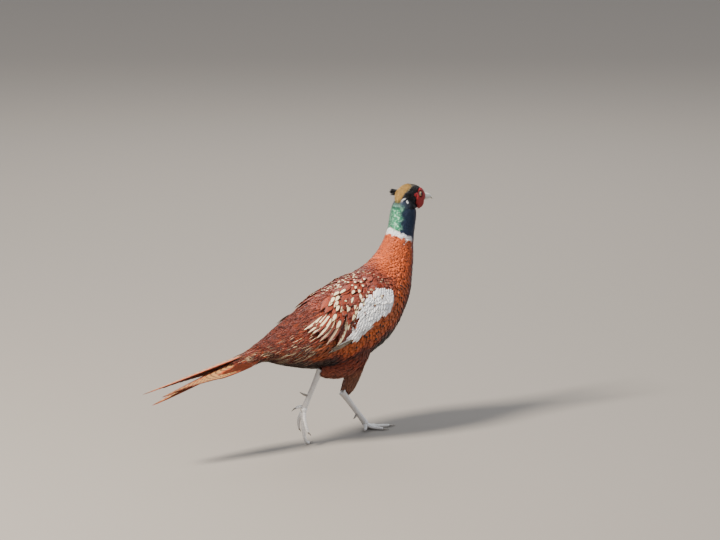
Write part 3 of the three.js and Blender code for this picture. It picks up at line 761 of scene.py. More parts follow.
def wattle_finish(name):
    """Bare red skin with fine warts, and painted shade in the hollows between them."""
    finish = Finish(name, Specular_IOR_Level=0.45, Subsurface_Weight=0.06, Subsurface_Scale=0.002)
    height = finish.attribute("height")["Fac"]
    # Painted shade: the red is darker where the skin lies low between the warts
    tone = finish.blend((*[c * 0.3 for c in settings().wattle], 1), (*settings().wattle, 1), height)
    finish.put(Base_Color=tone, Roughness=0.62 - finish.noise(900.0) * 0.25)
    finish.bump(finish.noise(1500.0), 0.3, 0.0003)
    return finish.material


def horn_finish(name, pale, dark, roughness=0.4):
    """Horn or scale that darkens by the attribute named shade."""
    finish = Finish(name, Specular_IOR_Level=0.5, Coat_Roughness=0.25)
    shade = Value(finish, finish.attribute("shade")["Fac"])
    fleck = finish.noise(160.0, 4.0)
    tone = finish.blend((*pale, 1), (*dark, 1), shade * (fleck * 0.9 + 0.55))
    finish.put(Base_Color=tone, Roughness=roughness + fleck * 0.2)
    finish.bump(finish.noise(700.0), 0.15, 0.0003)
    return finish.material


def eye_finish(name):
    """Dark pupil, pale amber iris and dark rim by the angle from the eye's axis."""
    finish = Finish(name, Roughness=0.08, Specular_IOR_Level=0.6, Coat_Weight=1.0, Coat_Roughness=0.03)
    gaze = Value(finish, finish.attribute("gaze")["Fac"])
    grain = finish.noise(900.0, 2.0)
    iris = finish.blend((0.42, 0.2, 0.05, 1), (0.62, 0.42, 0.16, 1), grain)
    colour = finish.blend(iris, (0.003, 0.003, 0.003, 1), 1 - finish.step(0.43, 0.5, gaze))
    colour = finish.blend(colour, (0.01, 0.006, 0.004, 1), finish.step(0.84, 0.95, gaze))
    finish.put(Base_Color=colour)
    return finish.material


def plain_finish(name, colour, roughness):
    """One colour all over."""
    finish = Finish(name, Base_Color=(*colour, 1), Roughness=roughness)
    return finish.material


def shared(name, maker, *values):
    """A material that is made once. Its name is never a slot's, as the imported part's own have those."""
    return bpy.data.materials.get(name) or maker(name, *values)


def head_feather():
    """The material of the head's feathers and the ear tufts."""
    return shared("head feather", feather_finish, 5, 10, 0.25, 0.5)


def plume_feather():
    """The material of the plumes and the leg feathers."""
    return shared("plume", feather_finish, 1, 14, 0.3, 0.55)


# Skin


def bmesh_object(name, mesh):
    """An object from a bmesh, which is freed."""
    data = bpy.data.meshes.new(name)
    mesh.to_mesh(data)
    mesh.free()
    return add_object(name, data)


def ball(name, centre, size, turns=28):
    """A ball or ellipsoid in the bird's frame."""
    mesh = bmesh.new()
    bmesh.ops.create_uvsphere(mesh, u_segments=turns, v_segments=turns // 2, radius=1)
    points = np.array([v.co for v in mesh.verts]) * np.asarray(size) + np.asarray(centre)
    for vertex, place in zip(mesh.verts, to_metres(points)):
        vertex.co = place
    return bmesh_object(name, mesh)


def merged(name, sources, voxel, smoothing, extra=()):
    """One even closed mesh round copies of nodes and of extra objects."""
    mesh = bmesh.new()
    for obj in [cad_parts[node] for node in sources] + list(extra):
        copy = obj.data.copy()
        copy.transform(obj.matrix_world)
        mesh.from_mesh(copy)
        bpy.data.meshes.remove(copy)
    for obj in extra:
        bpy.data.objects.remove(obj)
    obj = bmesh_object(name, mesh)
    remesh = obj.modifiers.new("Even faces", "REMESH")
    remesh.mode = "VOXEL"
    remesh.voxel_size = voxel * MM
    remesh.use_smooth_shade = True
    soften = obj.modifiers.new("Soften", "SMOOTH")
    soften.iterations = smoothing
    soften.factor = 0.5
    solid = bpy.data.meshes.new_from_object(obj.evaluated_get(bpy.context.evaluated_depsgraph_get()))
    obj.modifiers.clear()
    obj.data = solid
    solid.name = name
    return obj


def points_of(obj):
    """Points and normals of a mesh, in the bird's frame."""
    count = len(obj.data.vertices)
    points = np.empty(count * 3, dtype=np.float32)
    normals = np.empty(count * 3, dtype=np.float32)
    obj.data.vertices.foreach_get("co", points)
    obj.data.vertex_normals.foreach_get("vector", normals)
    return to_bird(points.reshape(-1, 3)), normals.reshape(-1, 3).astype(float)


def move_points(obj, points):
    """Puts the points of a mesh at places in the bird's frame."""
    obj.data.vertices.foreach_set("co", to_metres(points).astype(np.float32).ravel())
    obj.data.update()


class PheasantSizes(bpy.types.PropertyGroup):
    """Sizes and colours that a user would change."""

    coat_depth: bpy.props.FloatProperty(
        name="Coat depth", description="How far the skin lies under the outline", default=0.003,
        min=0, unit="LENGTH",
    )
    spacing: bpy.props.FloatProperty(
        name="Feather spacing", description="Distance between body feathers at the shoulder",
        default=0.0078, min=0.003, unit="LENGTH",
    )
    wing_depth: bpy.props.FloatProperty(
        name="Wing depth", description="How far the folded wing stands off the trunk", default=0.0075,
        min=0, unit="LENGTH",
    )
    tail_pairs: bpy.props.IntProperty(
        name="Tail pairs", description="Pairs of tail feathers", default=9, min=3,
    )
    copper: bpy.props.FloatVectorProperty(
        name="Copper", description="Lower neck and breast", default=(0.62, 0.1, 0.012), subtype="COLOR",
    )
    chestnut: bpy.props.FloatVectorProperty(
        name="Chestnut", description="Mantle and shoulders", default=(0.18, 0.022, 0.0055), subtype="COLOR",
    )
    maroon: bpy.props.FloatVectorProperty(
        name="Maroon", description="Breast and edges of the wing", default=(0.12, 0.014, 0.007),
        subtype="COLOR",
    )
    rust: bpy.props.FloatVectorProperty(
        name="Rust", description="Lower back and rump", default=(0.24, 0.033, 0.007), subtype="COLOR",
    )
    amber: bpy.props.FloatVectorProperty(
        name="Amber", description="Flanks", default=(0.5, 0.115, 0.02), subtype="COLOR",
    )
    cream: bpy.props.FloatVectorProperty(
        name="Cream", description="Spots and streaks", default=(0.94, 0.78, 0.46), subtype="COLOR",
    )
    white: bpy.props.FloatVectorProperty(
        name="White", description="Collar and wing patch", default=(0.93, 0.93, 0.93), subtype="COLOR",
    )
    bronze: bpy.props.FloatVectorProperty(
        name="Bronze", description="Rear crown and nape", default=(0.42, 0.24, 0.05), subtype="COLOR",
    )
    neck_green: bpy.props.FloatVectorProperty(
        name="Neck green", description="Gloss of the nape", default=(0.04, 0.28, 0.14), subtype="COLOR",
    )
    neck_blue: bpy.props.FloatVectorProperty(
        name="Neck blue", description="Gloss of the sides of the neck", default=(0.022, 0.04, 0.085),
        subtype="COLOR",
    )
    wattle: bpy.props.FloatVectorProperty(
        name="Wattle", description="Bare skin of the face", default=(0.3, 0.002, 0.004), subtype="COLOR",
    )
    tail_buff: bpy.props.FloatVectorProperty(
        name="Tail buff", description="Middle of the tail feathers", default=(0.42, 0.21, 0.065),
        subtype="COLOR",
    )
    scale: bpy.props.FloatVectorProperty(
        name="Leg scales", description="Bare legs", default=(0.82, 0.8, 0.77), subtype="COLOR",
    )
    bill: bpy.props.FloatVectorProperty(
        name="Bill", description="Horn of the bill", default=(0.56, 0.54, 0.47), subtype="COLOR",
    )


# The height where the head's coat starts and the band over which it mixes with the neck's, the
# height under which a point is on a leg, how deep the skin lies under the short coats, and how
# bright it is beside them
HEAD_FLOOR = 372
HEAD_BAND = 14
LEG_TOP = 128
HEAD_COAT = 0.8
LEG_COAT = 1.2
SKIN_SHADE = 0.6


def head_share(points):
    """1 on the head, 0 on the neck below it."""
    return smooth(HEAD_FLOOR - HEAD_BAND / 2, HEAD_FLOOR + HEAD_BAND / 2, points[:, 2])


class PHEASANT_OT_skin(bpy.types.Operator):
    """One skin for the trunk, neck, head and feathered legs."""

    bl_idname = "pheasant.skin"
    bl_label = "Skin"

    def execute(self, context):
        rump = ball("rump", (-158, 0, 166), (26, 19, 13))
        nodes = ("torso", "neck", "head", "shank_left", "shank_right")
        skin = merged("skin", nodes, 1.7, 6, [rump])
        points, normals = points_of(skin)
        place = Lookup().find(points)
        on_head = head_share(points)
        speck = np.full(len(points), 0.5)
        trunk = trunk_paint(place[:, 0], place[:, 1], speck)
        head = head_paint(into_head(points), speck)
        depth = mix(settings().coat_depth / MM, HEAD_COAT, on_head)
        legs = points[:, 2] < LEG_TOP
        depth = np.where(legs, LEG_COAT, depth)
        lift = wing_dome(place[:, 0], place[:, 1]) * (1 - on_head) * ~legs
        move_points(skin, points + normals * (lift - depth)[:, None])
        tone = tint(trunk["base"], head["base"], on_head)
        tone = tint(tone, leg_tone(points), legs.astype(float))
        add_colours(skin, "base", tone * SKIN_SHADE)
        add_map(skin, "OFBake", trunk_unwrap(place[:, 0], place[:, 1]))
        finish_piece(skin, shared("skin", skin_finish), "body_feathers", *nodes)
        return {"FINISHED"}


def leg_tone(points):
    """Colours of the feathered legs: rusty, browner towards the hock, and darker next to the body as painted
    shade under the belly.
    """
    s = settings()
    tone = np.tile(s.rust, (len(points), 1)).astype(float)
    tone = tint(tone, SHANK_BROWN, smooth(140, 84, points[:, 2]) * 0.75)
    # Painted shade: umber at the top of the legs, where the belly shades them
    return tint(tone, UMBER, smooth(140, 152, points[:, 2]) * 0.5)


# Body coat

TRACTS = (
    ("coat_neck", "neck_feathers", lambda d, a: d >= 346),
    ("coat_collar", "neck_feathers", lambda d, a: d >= 300),
    ("coat_mantle", "body_feathers", lambda d, a: (d >= 150) & (a < 62)),
    ("coat_breast", "body_feathers", lambda d, a: (d >= 215) & (a >= 62)),
    ("coat_flank", "body_feathers", lambda d, a: (d >= 90) & (a >= 62) & (a < 128)),
    ("coat_belly", "body_feathers", lambda d, a: (a >= 128)),
    ("coat_rump", "body_feathers", lambda d, a: d >= 0),
)


def feather_step(distance):
    """The distance between rows of feathers along the trunk."""
    share = np.interp(distance, (0, 60, 140, 230, 290, 335, 400), (0.5, 0.62, 0.86, 0.95, 0.66, 0.4, 0.27))
    return settings().spacing / MM * share


def trunk_roots():
    """Distances and angles of every body feather, in staggered rows."""
    distances, angles = [], []
    distance = 6.0
    row = 0
    while distance < TRUNK.length - 20:
        step = float(feather_step(distance))
        depth, width = TRUNK.at(TRUNK.sizes, distance)
        round_trip = math.pi * (3 * (depth + width) - math.sqrt((3 * depth + width) * (depth + 3 * width)))
        count = max(8, int(round_trip / (step * 0.95)))
        start = 0.5 * (row % 2) / count
        share = (np.arange(count) / count + start) * 360
        angles.append(share + random.uniform(-0.22, 0.22, count) * 360 / count)
        distances.append(distance + random.uniform(-0.25, 0.25, count) * step)
        distance += step * 0.8
        row += 1
    angle = (np.concatenate(angles) + 180) % 360 - 180
    return np.concatenate(distances), angle


def body_vanes(distance, angle):
    """The body feathers at roots on the trunk."""
    away = np.abs(angle)
    step = feather_step(distance)
    rump = smooth(132, 84, distance) * (1 - smooth(112, 134, away))
    fluff = smooth(210, 180, distance) * smooth(120, 142, away)
    loose = np.maximum(rump, fluff)
    length = step * mix(2.5, 5.2, loose) * random.uniform(0.85, 1.15, len(distance))
    width = step * mix(1.7, 0.72, loose) * random.uniform(0.85, 1.1, len(distance))
    dome = wing_dome(distance, angle)
    depth = settings().coat_depth / MM
    high = dome + random.uniform(-0.2, 0.5, len(distance)) - 0.3 + 2.2 * loose
    vanes = Vanes(length, width, 7, 5, pointed=loose[:, None, None] * 0.8, ragged=0.09)
    heading = random.normal(0, 5, len(distance)) + 8 * smooth(70, 100, away) * (distance < 240) + 6 * rump
    return vanes.on_form(
        TAILED, distance + TAIL_RUN, angle, heading, dome - depth - 0.4, high,
        camber=0.14 * width.mean() / 2, curl=random.normal(0, 0.05, len(distance)),
    )


def subset(paint, rows):
    """The paint of some of the feathers."""
    return {key: value[rows] for key, value in paint.items()}


class PHEASANT_OT_body_coat(bpy.types.Operator):
    """The body feathers, in tracts from the neck to the rump."""

    bl_idname = "pheasant.body_coat"
    bl_label = "Body feathers"

    def execute(self, context):
        distance, angle = trunk_roots()
        speck = random.uniform(0, 1, len(distance))
        away = np.abs(angle)
        free = ~((away > 50) & (away < 88) & (distance > 96) & (distance < 158))
        paint = trunk_paint(distance - 1.7 * feather_step(distance), angle, speck)
        material = shared("body feather", feather_finish)
        for name, slot, where in TRACTS:
            rows = np.flatnonzero(free & where(distance, away))
            free[rows] = False
            vanes = body_vanes(distance[rows], angle[rows])
            places = trunk_unwrap(distance[rows], angle[rows])
            vane_piece(name, [(vanes, subset(paint, rows), places)], material, slot)
        return {"FINISHED"}


# Head coat


class PHEASANT_OT_head_coat(bpy.types.Operator):
    """Small feathers of the head, which lie back from the bill and down the nape."""

    bl_idname = "pheasant.head_coat"
    bl_label = "Head feathers"

    def execute(self, context):
        skin = bpy.data.objects["skin"]
        points, normals = points_of(skin)
        local = into_head(points)
        keep = (points[:, 2] > HEAD_FLOOR - 12) & (local[:, 0] < 43)
        bare = wattle_share(local) > 0.35
        keep &= ~bare
        keep &= random.uniform(0, 1, len(points)) < 0.85
        rows = np.flatnonzero(keep)
        root, normal, local = points[rows], normals[rows], local[rows]
        down = smooth(2, -18, local[:, 0]) + smooth(392, 372, local[:, 2]) * (local[:, 0] < 20)
        flow = tint(np.tile((-1.0, 0, -0.12), (len(rows), 1)), (-0.2, 0, -1.0), np.clip(down, 0, 1))
        flow = turn_about_z(flow, HEAD_TURN) + random.normal(0, 0.12, (len(rows), 3))
        flow = unit(flow - normal * np.sum(flow * normal, axis=1, keepdims=True))
        face = smooth(14, 34, local[:, 0])
        length = mix(6.2, 3.2, face) * random.uniform(0.8, 1.2, len(rows))
        width = mix(2.7, 1.7, face) * random.uniform(0.8, 1.2, len(rows))
        speck = random.uniform(0, 1, len(rows))
        vanes = Vanes(length, width, 4, 3, pointed=0.45, ragged=0.1)
        lean = unit(flow + normal * 0.13)
        vanes.free(root - normal * 0.25, lean, normal, camber=0.1)
        paint = head_paint(local, speck)
        turn = np.degrees(np.arctan2(local[:, 1], local[:, 2] - 388))
        u = 0.02 + 0.96 * np.clip((local[:, 0] + 40) / 90, 0, 1)
        places = np.stack([u, 0.02 + 0.96 * (turn + 180) / 360], axis=-1)
        material = head_feather()
        vane_piece("coat_head", [(vanes, paint, places)], material, "head_feathers", thickness=0.2)
        return {"FINISHED"}


class PHEASANT_OT_ear_tufts(bpy.types.Operator):
    """The small horn of feathers behind each ear."""

    bl_idname = "pheasant.ear_tufts"
    bl_label = "Ear tufts"

    def execute(self, context):
        material = head_feather()
        for name, side in SIDES:
            count = 34
            spread = random.uniform(-1, 1, (count, 2))
            root = np.column_stack([
                3 + 3 * spread[:, 0], side * (12 + 0.6 * spread[:, 1]), 396 + 3.2 * spread[:, 1],
            ])
            direction = np.column_stack([
                -0.9 + 0 * spread[:, 0],
                side * (0.3 + 0.06 * spread[:, 0]),
                0.1 + 0.13 * spread[:, 1],
            ])
            normal = np.tile((0.3, side * 0.95, 0.1), (count, 1))
            vanes = Vanes(18.5 - 5 * np.abs(spread[:, 0]), np.full(count, 2.6), 6, 3, pointed=1, ragged=0.05)
            root = from_head(root)
            direction = turn_about_z(unit(direction), HEAD_TURN)
            vanes.free(root, direction, turn_about_z(normal, HEAD_TURN), droop=-1.5, wave=0.2)
            paint = blank(count)
            paint["base"][:] = DARK
            paint["gloss"][:] = 0.5
            places = 0.5 + 0.4 * spread
            vane_piece(f"ear_tuft_feathers_{name}", [(vanes, paint, places)], material, "head_feathers",
                       f"ear_tuft_{name}", thickness=0.3)
        return {"FINISHED"}


# Wings

# For each tier its name, number, width and lift, then the distance, angle, length and heading of
# its first and of its last vane
WING_TIERS = (
    ("primaries", 6, 12, 1.6, (190, 82, 70, 8), (165, 80, 76, 25)),
    ("secondaries", 12, 15, 4.6, (226, 80, 84, 8), (160, 46, 74, 50)),
    ("tertials", 6, 15, 6.6, (150, 44, 70, 46), (112, 36, 56, 14)),
    ("greater coverts", 11, 13, 6.4, (240, 79, 46, 10), (168, 42, 46, 46)),
    ("middle coverts", 11, 11.5, 8.2, (250, 76, 34, 12), (188, 39, 32, 44)),
    ("lesser coverts", 10, 11, 9.0, (258, 74, 26, 14), (208, 42, 24, 38)),
)


def patch_share(distance, angle):
    """How white a covert's tip is. The patch runs from the wrist back along the wing's lower edge."""
    away = np.abs(angle)
    upper = np.interp(distance, (134, 140, 154, 169, 188, 221, 244, 255), (98, 93, 78, 63, 54, 51, 54, 72))
    lower = np.interp(distance, (134, 156, 177, 206, 232, 255), (98, 93, 86, 84, 88, 78))
    inside = smooth(upper - 2, upper + 2, away) * (1 - smooth(lower - 1, lower + 2, away))
    return inside * (distance > 136) * (distance < 257)


def wing_paint(tier, distance, angle, vane_tip, speck):
    """Colours and marks of the wing's vanes."""
    s = settings()
    paint = blank(len(distance))
    paint["base"][:] = tint(s.chestnut, s.maroon, 0.35)
    tip_distance, tip_angle = vane_tip
    white = patch_share(tip_distance, tip_angle)
    paint["spot"][:] = (0.55, 0.5, 0.34)
    paint["marks"][:, 1] = 0.95
    paint["marks"][:, 2] = 0.3
    paint["edge"][:] = s.maroon
    if tier == "primaries":
        paint["base"][:] = (0.1, 0.075, 0.06)
        paint["mid"][:] = (0.5, 0.42, 0.32)
        paint["edge"][:] = (0.5, 0.42, 0.3)
        paint["marks"][:] = (0.5, 0, 0, 0.6)
    elif tier == "secondaries":
        outer = smooth(60, 70, np.abs(angle))
        paint["base"][:] = tint(paint["base"], (0.11, 0.11, 0.12), outer)
        paint["mid"][:] = tint(paint["mid"], GREY, outer)
        paint["edge"][:] = tint(s.maroon, (0.06, 0.06, 0.07), outer)
        paint["spot"][:] = (0.6, 0.55, 0.36)
    elif tier == "tertials":
        paint["base"][:] = tint(s.chestnut, UMBER, (speck > 0.6) * 0.5)
        paint["mid"][:] = tint(s.cream, s.rust, (speck > 0.7) * 0.5)
        paint["spot"][:] = (0.56, 0.6, 0.26)
        paint["marks"][:, 0] = 0.7
    elif tier == "lesser coverts":
        paint["spot"][:] = (0.75, 0.2, 0.42)
        paint["marks"][:, 2] = 0.8
        paint["edge"][:] = DARK
    paint["base"][:] = tint(paint["base"], s.white, white)
    paint["marks"][:, 1:3] *= (1 - white)[:, None]
    paint["mid"] *= (0.88 + 0.2 * speck)[:, None]
    return paint


class PHEASANT_OT_wings(bpy.types.Operator):
    """The folded wings, tier over tier."""

    bl_idname = "pheasant.wings"
    bl_label = "Wings"

    def execute(self, context):
        material = shared("wing feather", feather_finish, 11, 46, 0.3, 0.5)
        for name, side in SIDES:
            groups = []
            for tier, count, width, lift, first, last in WING_TIERS:
                share = np.linspace(0, 1, count) + random.uniform(-0.15, 0.15, count) / count
                distance, angle, length, heading = (first[k] + (last[k] - first[k]) * share for k in range(4))
                speck = random.uniform(0, 1, count)
                length = length * (0.96 + 0.08 * speck)
                rows = 12 if tier in ("primaries", "secondaries", "tertials") else 9
                vanes = Vanes(length, np.full(count, float(width)), rows, 7, ragged=0.04, blunt=6)
                vanes.on_form(
                    TRUNK, distance, side * angle, heading + random.normal(0, 1.2, count), -1.5,
                    lift + 0.05 * np.arange(count), tilt=0.1, camber=0.6, curl=0.02,
                )
                turn = np.radians(heading)
                tip = (distance - 0.7 * length * np.cos(turn), angle + 0.7 * length * np.sin(turn))
                paint = wing_paint(tier, distance, angle, tip, speck)
                groups.append((vanes, paint, trunk_unwrap(distance, side * angle)))
            groups.append(patch_coverts(side))
            groups.append(scapulars(side))
            vane_piece(f"wing_feathers_{name}", groups, material, "wing_feathers", f"wing_{name}",
                       thickness=0.5)
        return {"FINISHED"}


def covert_rows(first, last, step, low, high, angle_step):
    """Staggered roots over a part of the wing, as distances and angles."""
    distance, angle = [], []
    for row, along in enumerate(np.arange(first, last, step)):
        offsets = np.arange(low, high, angle_step) + angle_step / 2 * (row % 2)
        distance.append(along + random.uniform(-0.2, 0.2, len(offsets)) * step)
        angle.append(offsets + random.uniform(-0.2, 0.2, len(offsets)) * angle_step)
    return np.concatenate(distance), np.concatenate(angle)


def patch_coverts(side):
    """Small dense coverts over the wrist and the white patch."""
    distance, angle = covert_rows(140, 262, 3.8, 40, 96, 4.6)
    speck = random.uniform(0, 1, len(distance))
    inside = (patch_share(distance - 14, angle + 5) > 0.3) & (patch_share(distance - 2, angle + 1) > 0.3)
    distance, angle, speck = distance[inside], angle[inside], speck[inside]
    count = len(distance)
    vanes = Vanes(21 + 5 * speck, np.full(count, 6.5), 8, 5, pointed=0.3, ragged=0.04)
    dome = wing_dome(distance, angle)
    vanes.on_form(TRUNK, distance, side * angle, 18 + 6 * speck, dome - 1.5,
                  np.maximum(dome, 5) + 1.1 + 0.4 * speck, camber=0.2)
    paint = blank(count)
    paint["base"][:] = settings().white
    paint["base"] *= (0.86 + 0.14 * speck)[:, None]
    return vanes, paint, trunk_unwrap(distance, side * angle)


def scapulars(side):
    """Shoulder feathers with cream spots, which lap over the top of the wing."""
    distance, angle = covert_rows(146, 262, 11.0, 16, 50, 10.5)
    count = len(distance)
    speck = random.uniform(0, 1, count)
    big = smooth(250, 170, distance)
    vanes = Vanes(mix(20, 36, big) * (0.9 + 0.2 * speck), mix(9.5, 15, big), 8, 7, ragged=0.05)
    lift = 2.2 + 6.2 * smooth(18, 44, angle) * smooth(264, 236, distance)
    vanes.on_form(TRUNK, distance, side * angle, 14 + 0.5 * angle + random.normal(0, 3, count),
                  -1.5 + wing_dome(distance, angle) * 0.6, lift + 0.5 * speck, camber=0.6)
    paint = blank(count)
    s = settings()
    spotted = speck > 0.32
    paint["base"][:] = tint(s.chestnut, s.rust, random.uniform(0, 1, count))
    paint["edge"][:] = SOOT
    paint["spot"][:] = (0.76, 0.13, 0.4)
    paint["spot"][:, 1] = mix(0.13, 0.2, big)
    paint["marks"][:, 1] = 0.97 * spotted
    paint["marks"][:, 2] = 0.95 * spotted
    paint["marks"][:, 0] = 0.85 * ~spotted
    return vanes, paint, trunk_unwrap(distance, side * angle)


# Tail

TAIL_OVERHANG = 4
TAIL_SIDE_RATIO = 0.985


class PHEASANT_OT_tail(bpy.types.Operator):
    """Tail feathers in pairs, the middle pair longest, with hair-like coverts over their roots."""

    bl_idname = "pheasant.tail"
    bl_label = "Tail"

    def execute(self, context):
        s = settings()
        pairs = s.tail_pairs
        centre, _ = TRUNK.spot(np.zeros(1), np.zeros(1))
        centre = centre[0] * (1, 0, 0) + (0, 0, TRUNK_STATIONS[0][1])
        roots, directions, normals, lengths, widths, droops = [], [], [], [], [], []
        for pair in range(pairs):
            rank = pair * 6 / pairs
            for side in (1, -1):
                split = 0 if side > 0 else TAIL_SPLIT / (1 + rank)
                pitch = -math.radians(TAIL_PITCH + split + 0.4 * rank)
                spread = side * math.radians(0.5 + 0.9 * rank)
                roll = side * math.radians(9 + 6 * rank)
                directions.append((-math.cos(pitch) * math.cos(spread), math.sin(spread), math.sin(pitch)))
                offset = (-2 - 2 * rank, side * (2.4 + 1.6 * rank), 5.5 - 2.3 * rank + 0.6 * side)
                roots.append(centre + offset)
                normals.append((math.sin(pitch), math.sin(roll), math.cos(roll)))
                ratio = 1 if side > 0 else TAIL_SIDE_RATIO
                lengths.append((TAIL_LENGTH + TAIL_OVERHANG) * TAIL_GRADING**rank * ratio)
                widths.append(21 * (1 - 0.05 * rank))
                droops.append(2 * side)
        count = len(roots)
        vanes = Vanes(lengths, widths, 26, 7, pointed=0.85, ragged=0.03)
        vanes.free(np.array(roots), np.array(directions), np.array(normals), droop=droops, camber=0.06)
        paint = blank(count)
        paint["base"][:] = tint(s.copper, s.rust, 0.5)
        paint["mid"][:] = s.tail_buff
        paint["edge"][:] = UMBER
        paint["marks"][:] = (0.4, 0.95, 0, 0.9)
        paint["spot"][:] = (0.5, 0.72, 0.5)
        places = np.column_stack([np.linspace(0.05, 0.95, count), np.full(count, 0.5)])
        groups = [(vanes, paint, places), tail_coverts(centre)]
        material = shared("tail feather", feather_finish, 17, 90, 0.3, 0.5)
        vane_piece("tail_feathers", groups, material, "tail_feathers", "tail", thickness=0.5)
        return {"FINISHED"}


def tail_coverts(centre):
    """Loose narrow coverts all round the root of the tail."""
    count = 420
    turn = random.uniform(-180, 180, count)
    back = random.uniform(0, 1, count)
    up, out = np.cos(np.radians(turn)), np.sin(np.radians(turn))
    height = 167 - 3.5 * back + (13 - 6 * back) * up
    root = np.column_stack([-140 - 26 * back, (18 - 9 * back) * out, height])
    direction = unit(np.column_stack([-1 + 0 * up, -0.03 * out, -0.17 - 0.04 * up + 0.02 * out]))
    normal = np.column_stack([0.1 + 0 * up, out, up])
    length = mix(34, 60, np.clip(up, 0, 1)) * random.uniform(0.75, 1.1, count)
    vanes = Vanes(length, random.uniform(3.2, 6, count), 7, 3, pointed=0.8, ragged=0.08)
    vanes.free(root, direction, normal, droop=random.uniform(0, 3, count), wave=0.4,
               sweep=random.normal(0, 1.5, count))
    s = settings()
    paint = blank(count)
    base = paint["base"]
    speck = random.uniform(0, 1, count)
    base[:] = tint(s.rust, s.tail_buff, (speck > 0.7) * 0.7)
    base[:] = tint(base, SOOT, smooth(0.2, -0.7, up) * 0.8)
    base[:] = tint(base, UMBER, random.uniform(0, 0.8, count))
    base *= random.uniform(0.5, 1.4, count)[:, None]
    places = np.column_stack([0.05 + 0.9 * back, 0.05 + 0.9 * (turn + 180) / 360])
    return vanes, paint, places


# Plumes of the rump and legs


class PHEASANT_OT_rump_plumes(bpy.types.Operator):
    """Long hair-like plumes that hang from the rump over the tail root and the thighs."""

    bl_idname = "pheasant.rump_plumes"
    bl_label = "Rump plumes"

    def execute(self, context):
        groups = [plumes(2400, 16, 122, 112, 1.0), plumes(900, -52, 24, 180, 0.8)]
        material = plume_feather()
        vane_piece("rump_plumes", groups, material, "body_feathers", thickness=0.25)
        return {"FINISHED"}


def plumes(count, first, last, reach, scale):
    """Hair-like plumes between two distances and out to an angle on either side."""
    s = settings()
    distance = random.uniform(first, last, count)
    angle = random.uniform(-reach, reach, count)
    away = np.abs(angle)
    keep = ~((distance > 92) & (away > 40))
    distance, angle, away = distance[keep], angle[keep], away[keep]
    count = len(distance)
    speck = random.uniform(0, 1, count)
    hang = smooth(40, 100, away) * smooth(14, 50, distance)
    length = scale * mix(32, 44, hang) * random.uniform(0.7, 1.2, count)
    vanes = Vanes(length, mix(3.2, 2.0, speck), 8, 3, pointed=0.85, ragged=0.05)
    heading = mix(3, 36, hang) + random.normal(0, 6, count)
    vanes.on_form(TAILED, distance + TAIL_RUN, angle, heading, -2.5, 1 + 2.4 * speck * mix(0.5, 1, hang),
                  curl=random.normal(0, 0.07, count), camber=0.2)
    paint = blank(count)
    base = paint["base"]
    base[:] = tint(s.rust, s.maroon, (speck > 0.7) * 0.8)
    base[:] = tint(base, SOOT, (speck > 0.92) * 0.8)
    base[:] = tint(base, s.copper, (speck < 0.2) * 0.6)
    buff = smooth(58, 92, away) * smooth(20, 60, distance) * (speck < 0.5)
    base[:] = tint(base, BUFF, buff * 0.8)
    soot = smooth(112, 150, away) * (distance < 60)
    base[:] = tint(base, SOOT, soot * 0.85)
    pale = (random.uniform(0, 1, count) > 0.8) * smooth(24, 60, away)
    base[:] = tint(base, s.cream, pale * 0.6)
    base *= random.uniform(0.45, 1.25, count)[:, None]
    return vanes, paint, trunk_unwrap(distance, angle)


def shank_step(form, distance):
    """The distance between feathers at a distance along a shank."""
    return np.interp(distance, (0, form.length), (5.2, 2.6))


class PHEASANT_OT_leg_coat(bpy.types.Operator):
    """Short soft feathers of the thighs and shanks."""

    bl_idname = "pheasant.leg_coat"
    bl_label = "Leg feathers"

    def execute(self, context):
        material = plume_feather()
        for name, side in SIDES:
            form = SHANKS[side]
            distance, angle = [], []
            along = 14.0
            while along < form.length - 1.5:
                radius = float(form.at(form.sizes, along)[0])
                step = shank_step(form, along)
                count = max(8, int(2 * math.pi * radius / (step * 0.8)))
                distance.append(np.full(count, along) + random.uniform(-1, 1, count))
                angle.append(np.arange(count) * 360 / count + random.uniform(-8, 8, count) + 90 * along)
                along += step * 0.75
            distance = np.concatenate(distance)
            angle = (np.concatenate(angle) + 180) % 360 - 180
            count = len(distance)
            step = shank_step(form, distance)
            speck = random.uniform(0, 1, count)
            vanes = Vanes(step * 3.2 * (0.8 + 0.4 * speck), step * 1.1, 6, 3, pointed=0.5, ragged=0.12)
            # A shank's form runs down from the body, so its feathers point ahead along it
            vanes.along = -vanes.along
            heading = random.normal(0, 7, count)
            vanes.on_form(form, distance, angle, heading, -1.6, 0.3 + 0.9 * speck, camber=0.2)
            root, _ = form.spot(distance, angle)
            paint = blank(count)
            paint["base"][:] = leg_tone(root) * (0.7 + 0.6 * speck)[:, None]
            u = 0.05 + 0.9 * distance / form.length
            places = np.column_stack([u, 0.05 + 0.9 * (angle + 180) / 360])
            vane_piece(f"leg_feathers_{name}", [(vanes, paint, places)], material, "shank_feathers",
                       thickness=0.2)
        return {"FINISHED"}


# Face

WATTLE_CENTRE = (30.2, 386)
WATTLE_SIZE = (14, 18)
WATTLE_LOBE = (17, 14.2, 394)
RIM_ANGLE = 62


def head_spot(place, side):
    """A place of the head's own frame, taken to one side, in the bird's frame."""
    return from_head(np.array((place[0], side * place[1], place[2])))


def wattle_share(local):
    """1 in the middle of the bare red skin, 0 outside it, from places in the head's frame."""
    x, y, z = local[:, 0], np.abs(local[:, 1]), local[:, 2]
    dx = (x - WATTLE_CENTRE[0]) / WATTLE_SIZE[0]
    dz = (z - WATTLE_CENTRE[1]) / WATTLE_SIZE[1]
    lobe = ((x - WATTLE_LOBE[0]) / 5.5) ** 2 + ((z - WATTLE_LOBE[2]) / 4) ** 2
    reach = np.minimum(dx**2 + dz**2, lobe)
    return (1 - smooth(0.8, 1.05, reach)) * smooth(3.5, 6.5, y)


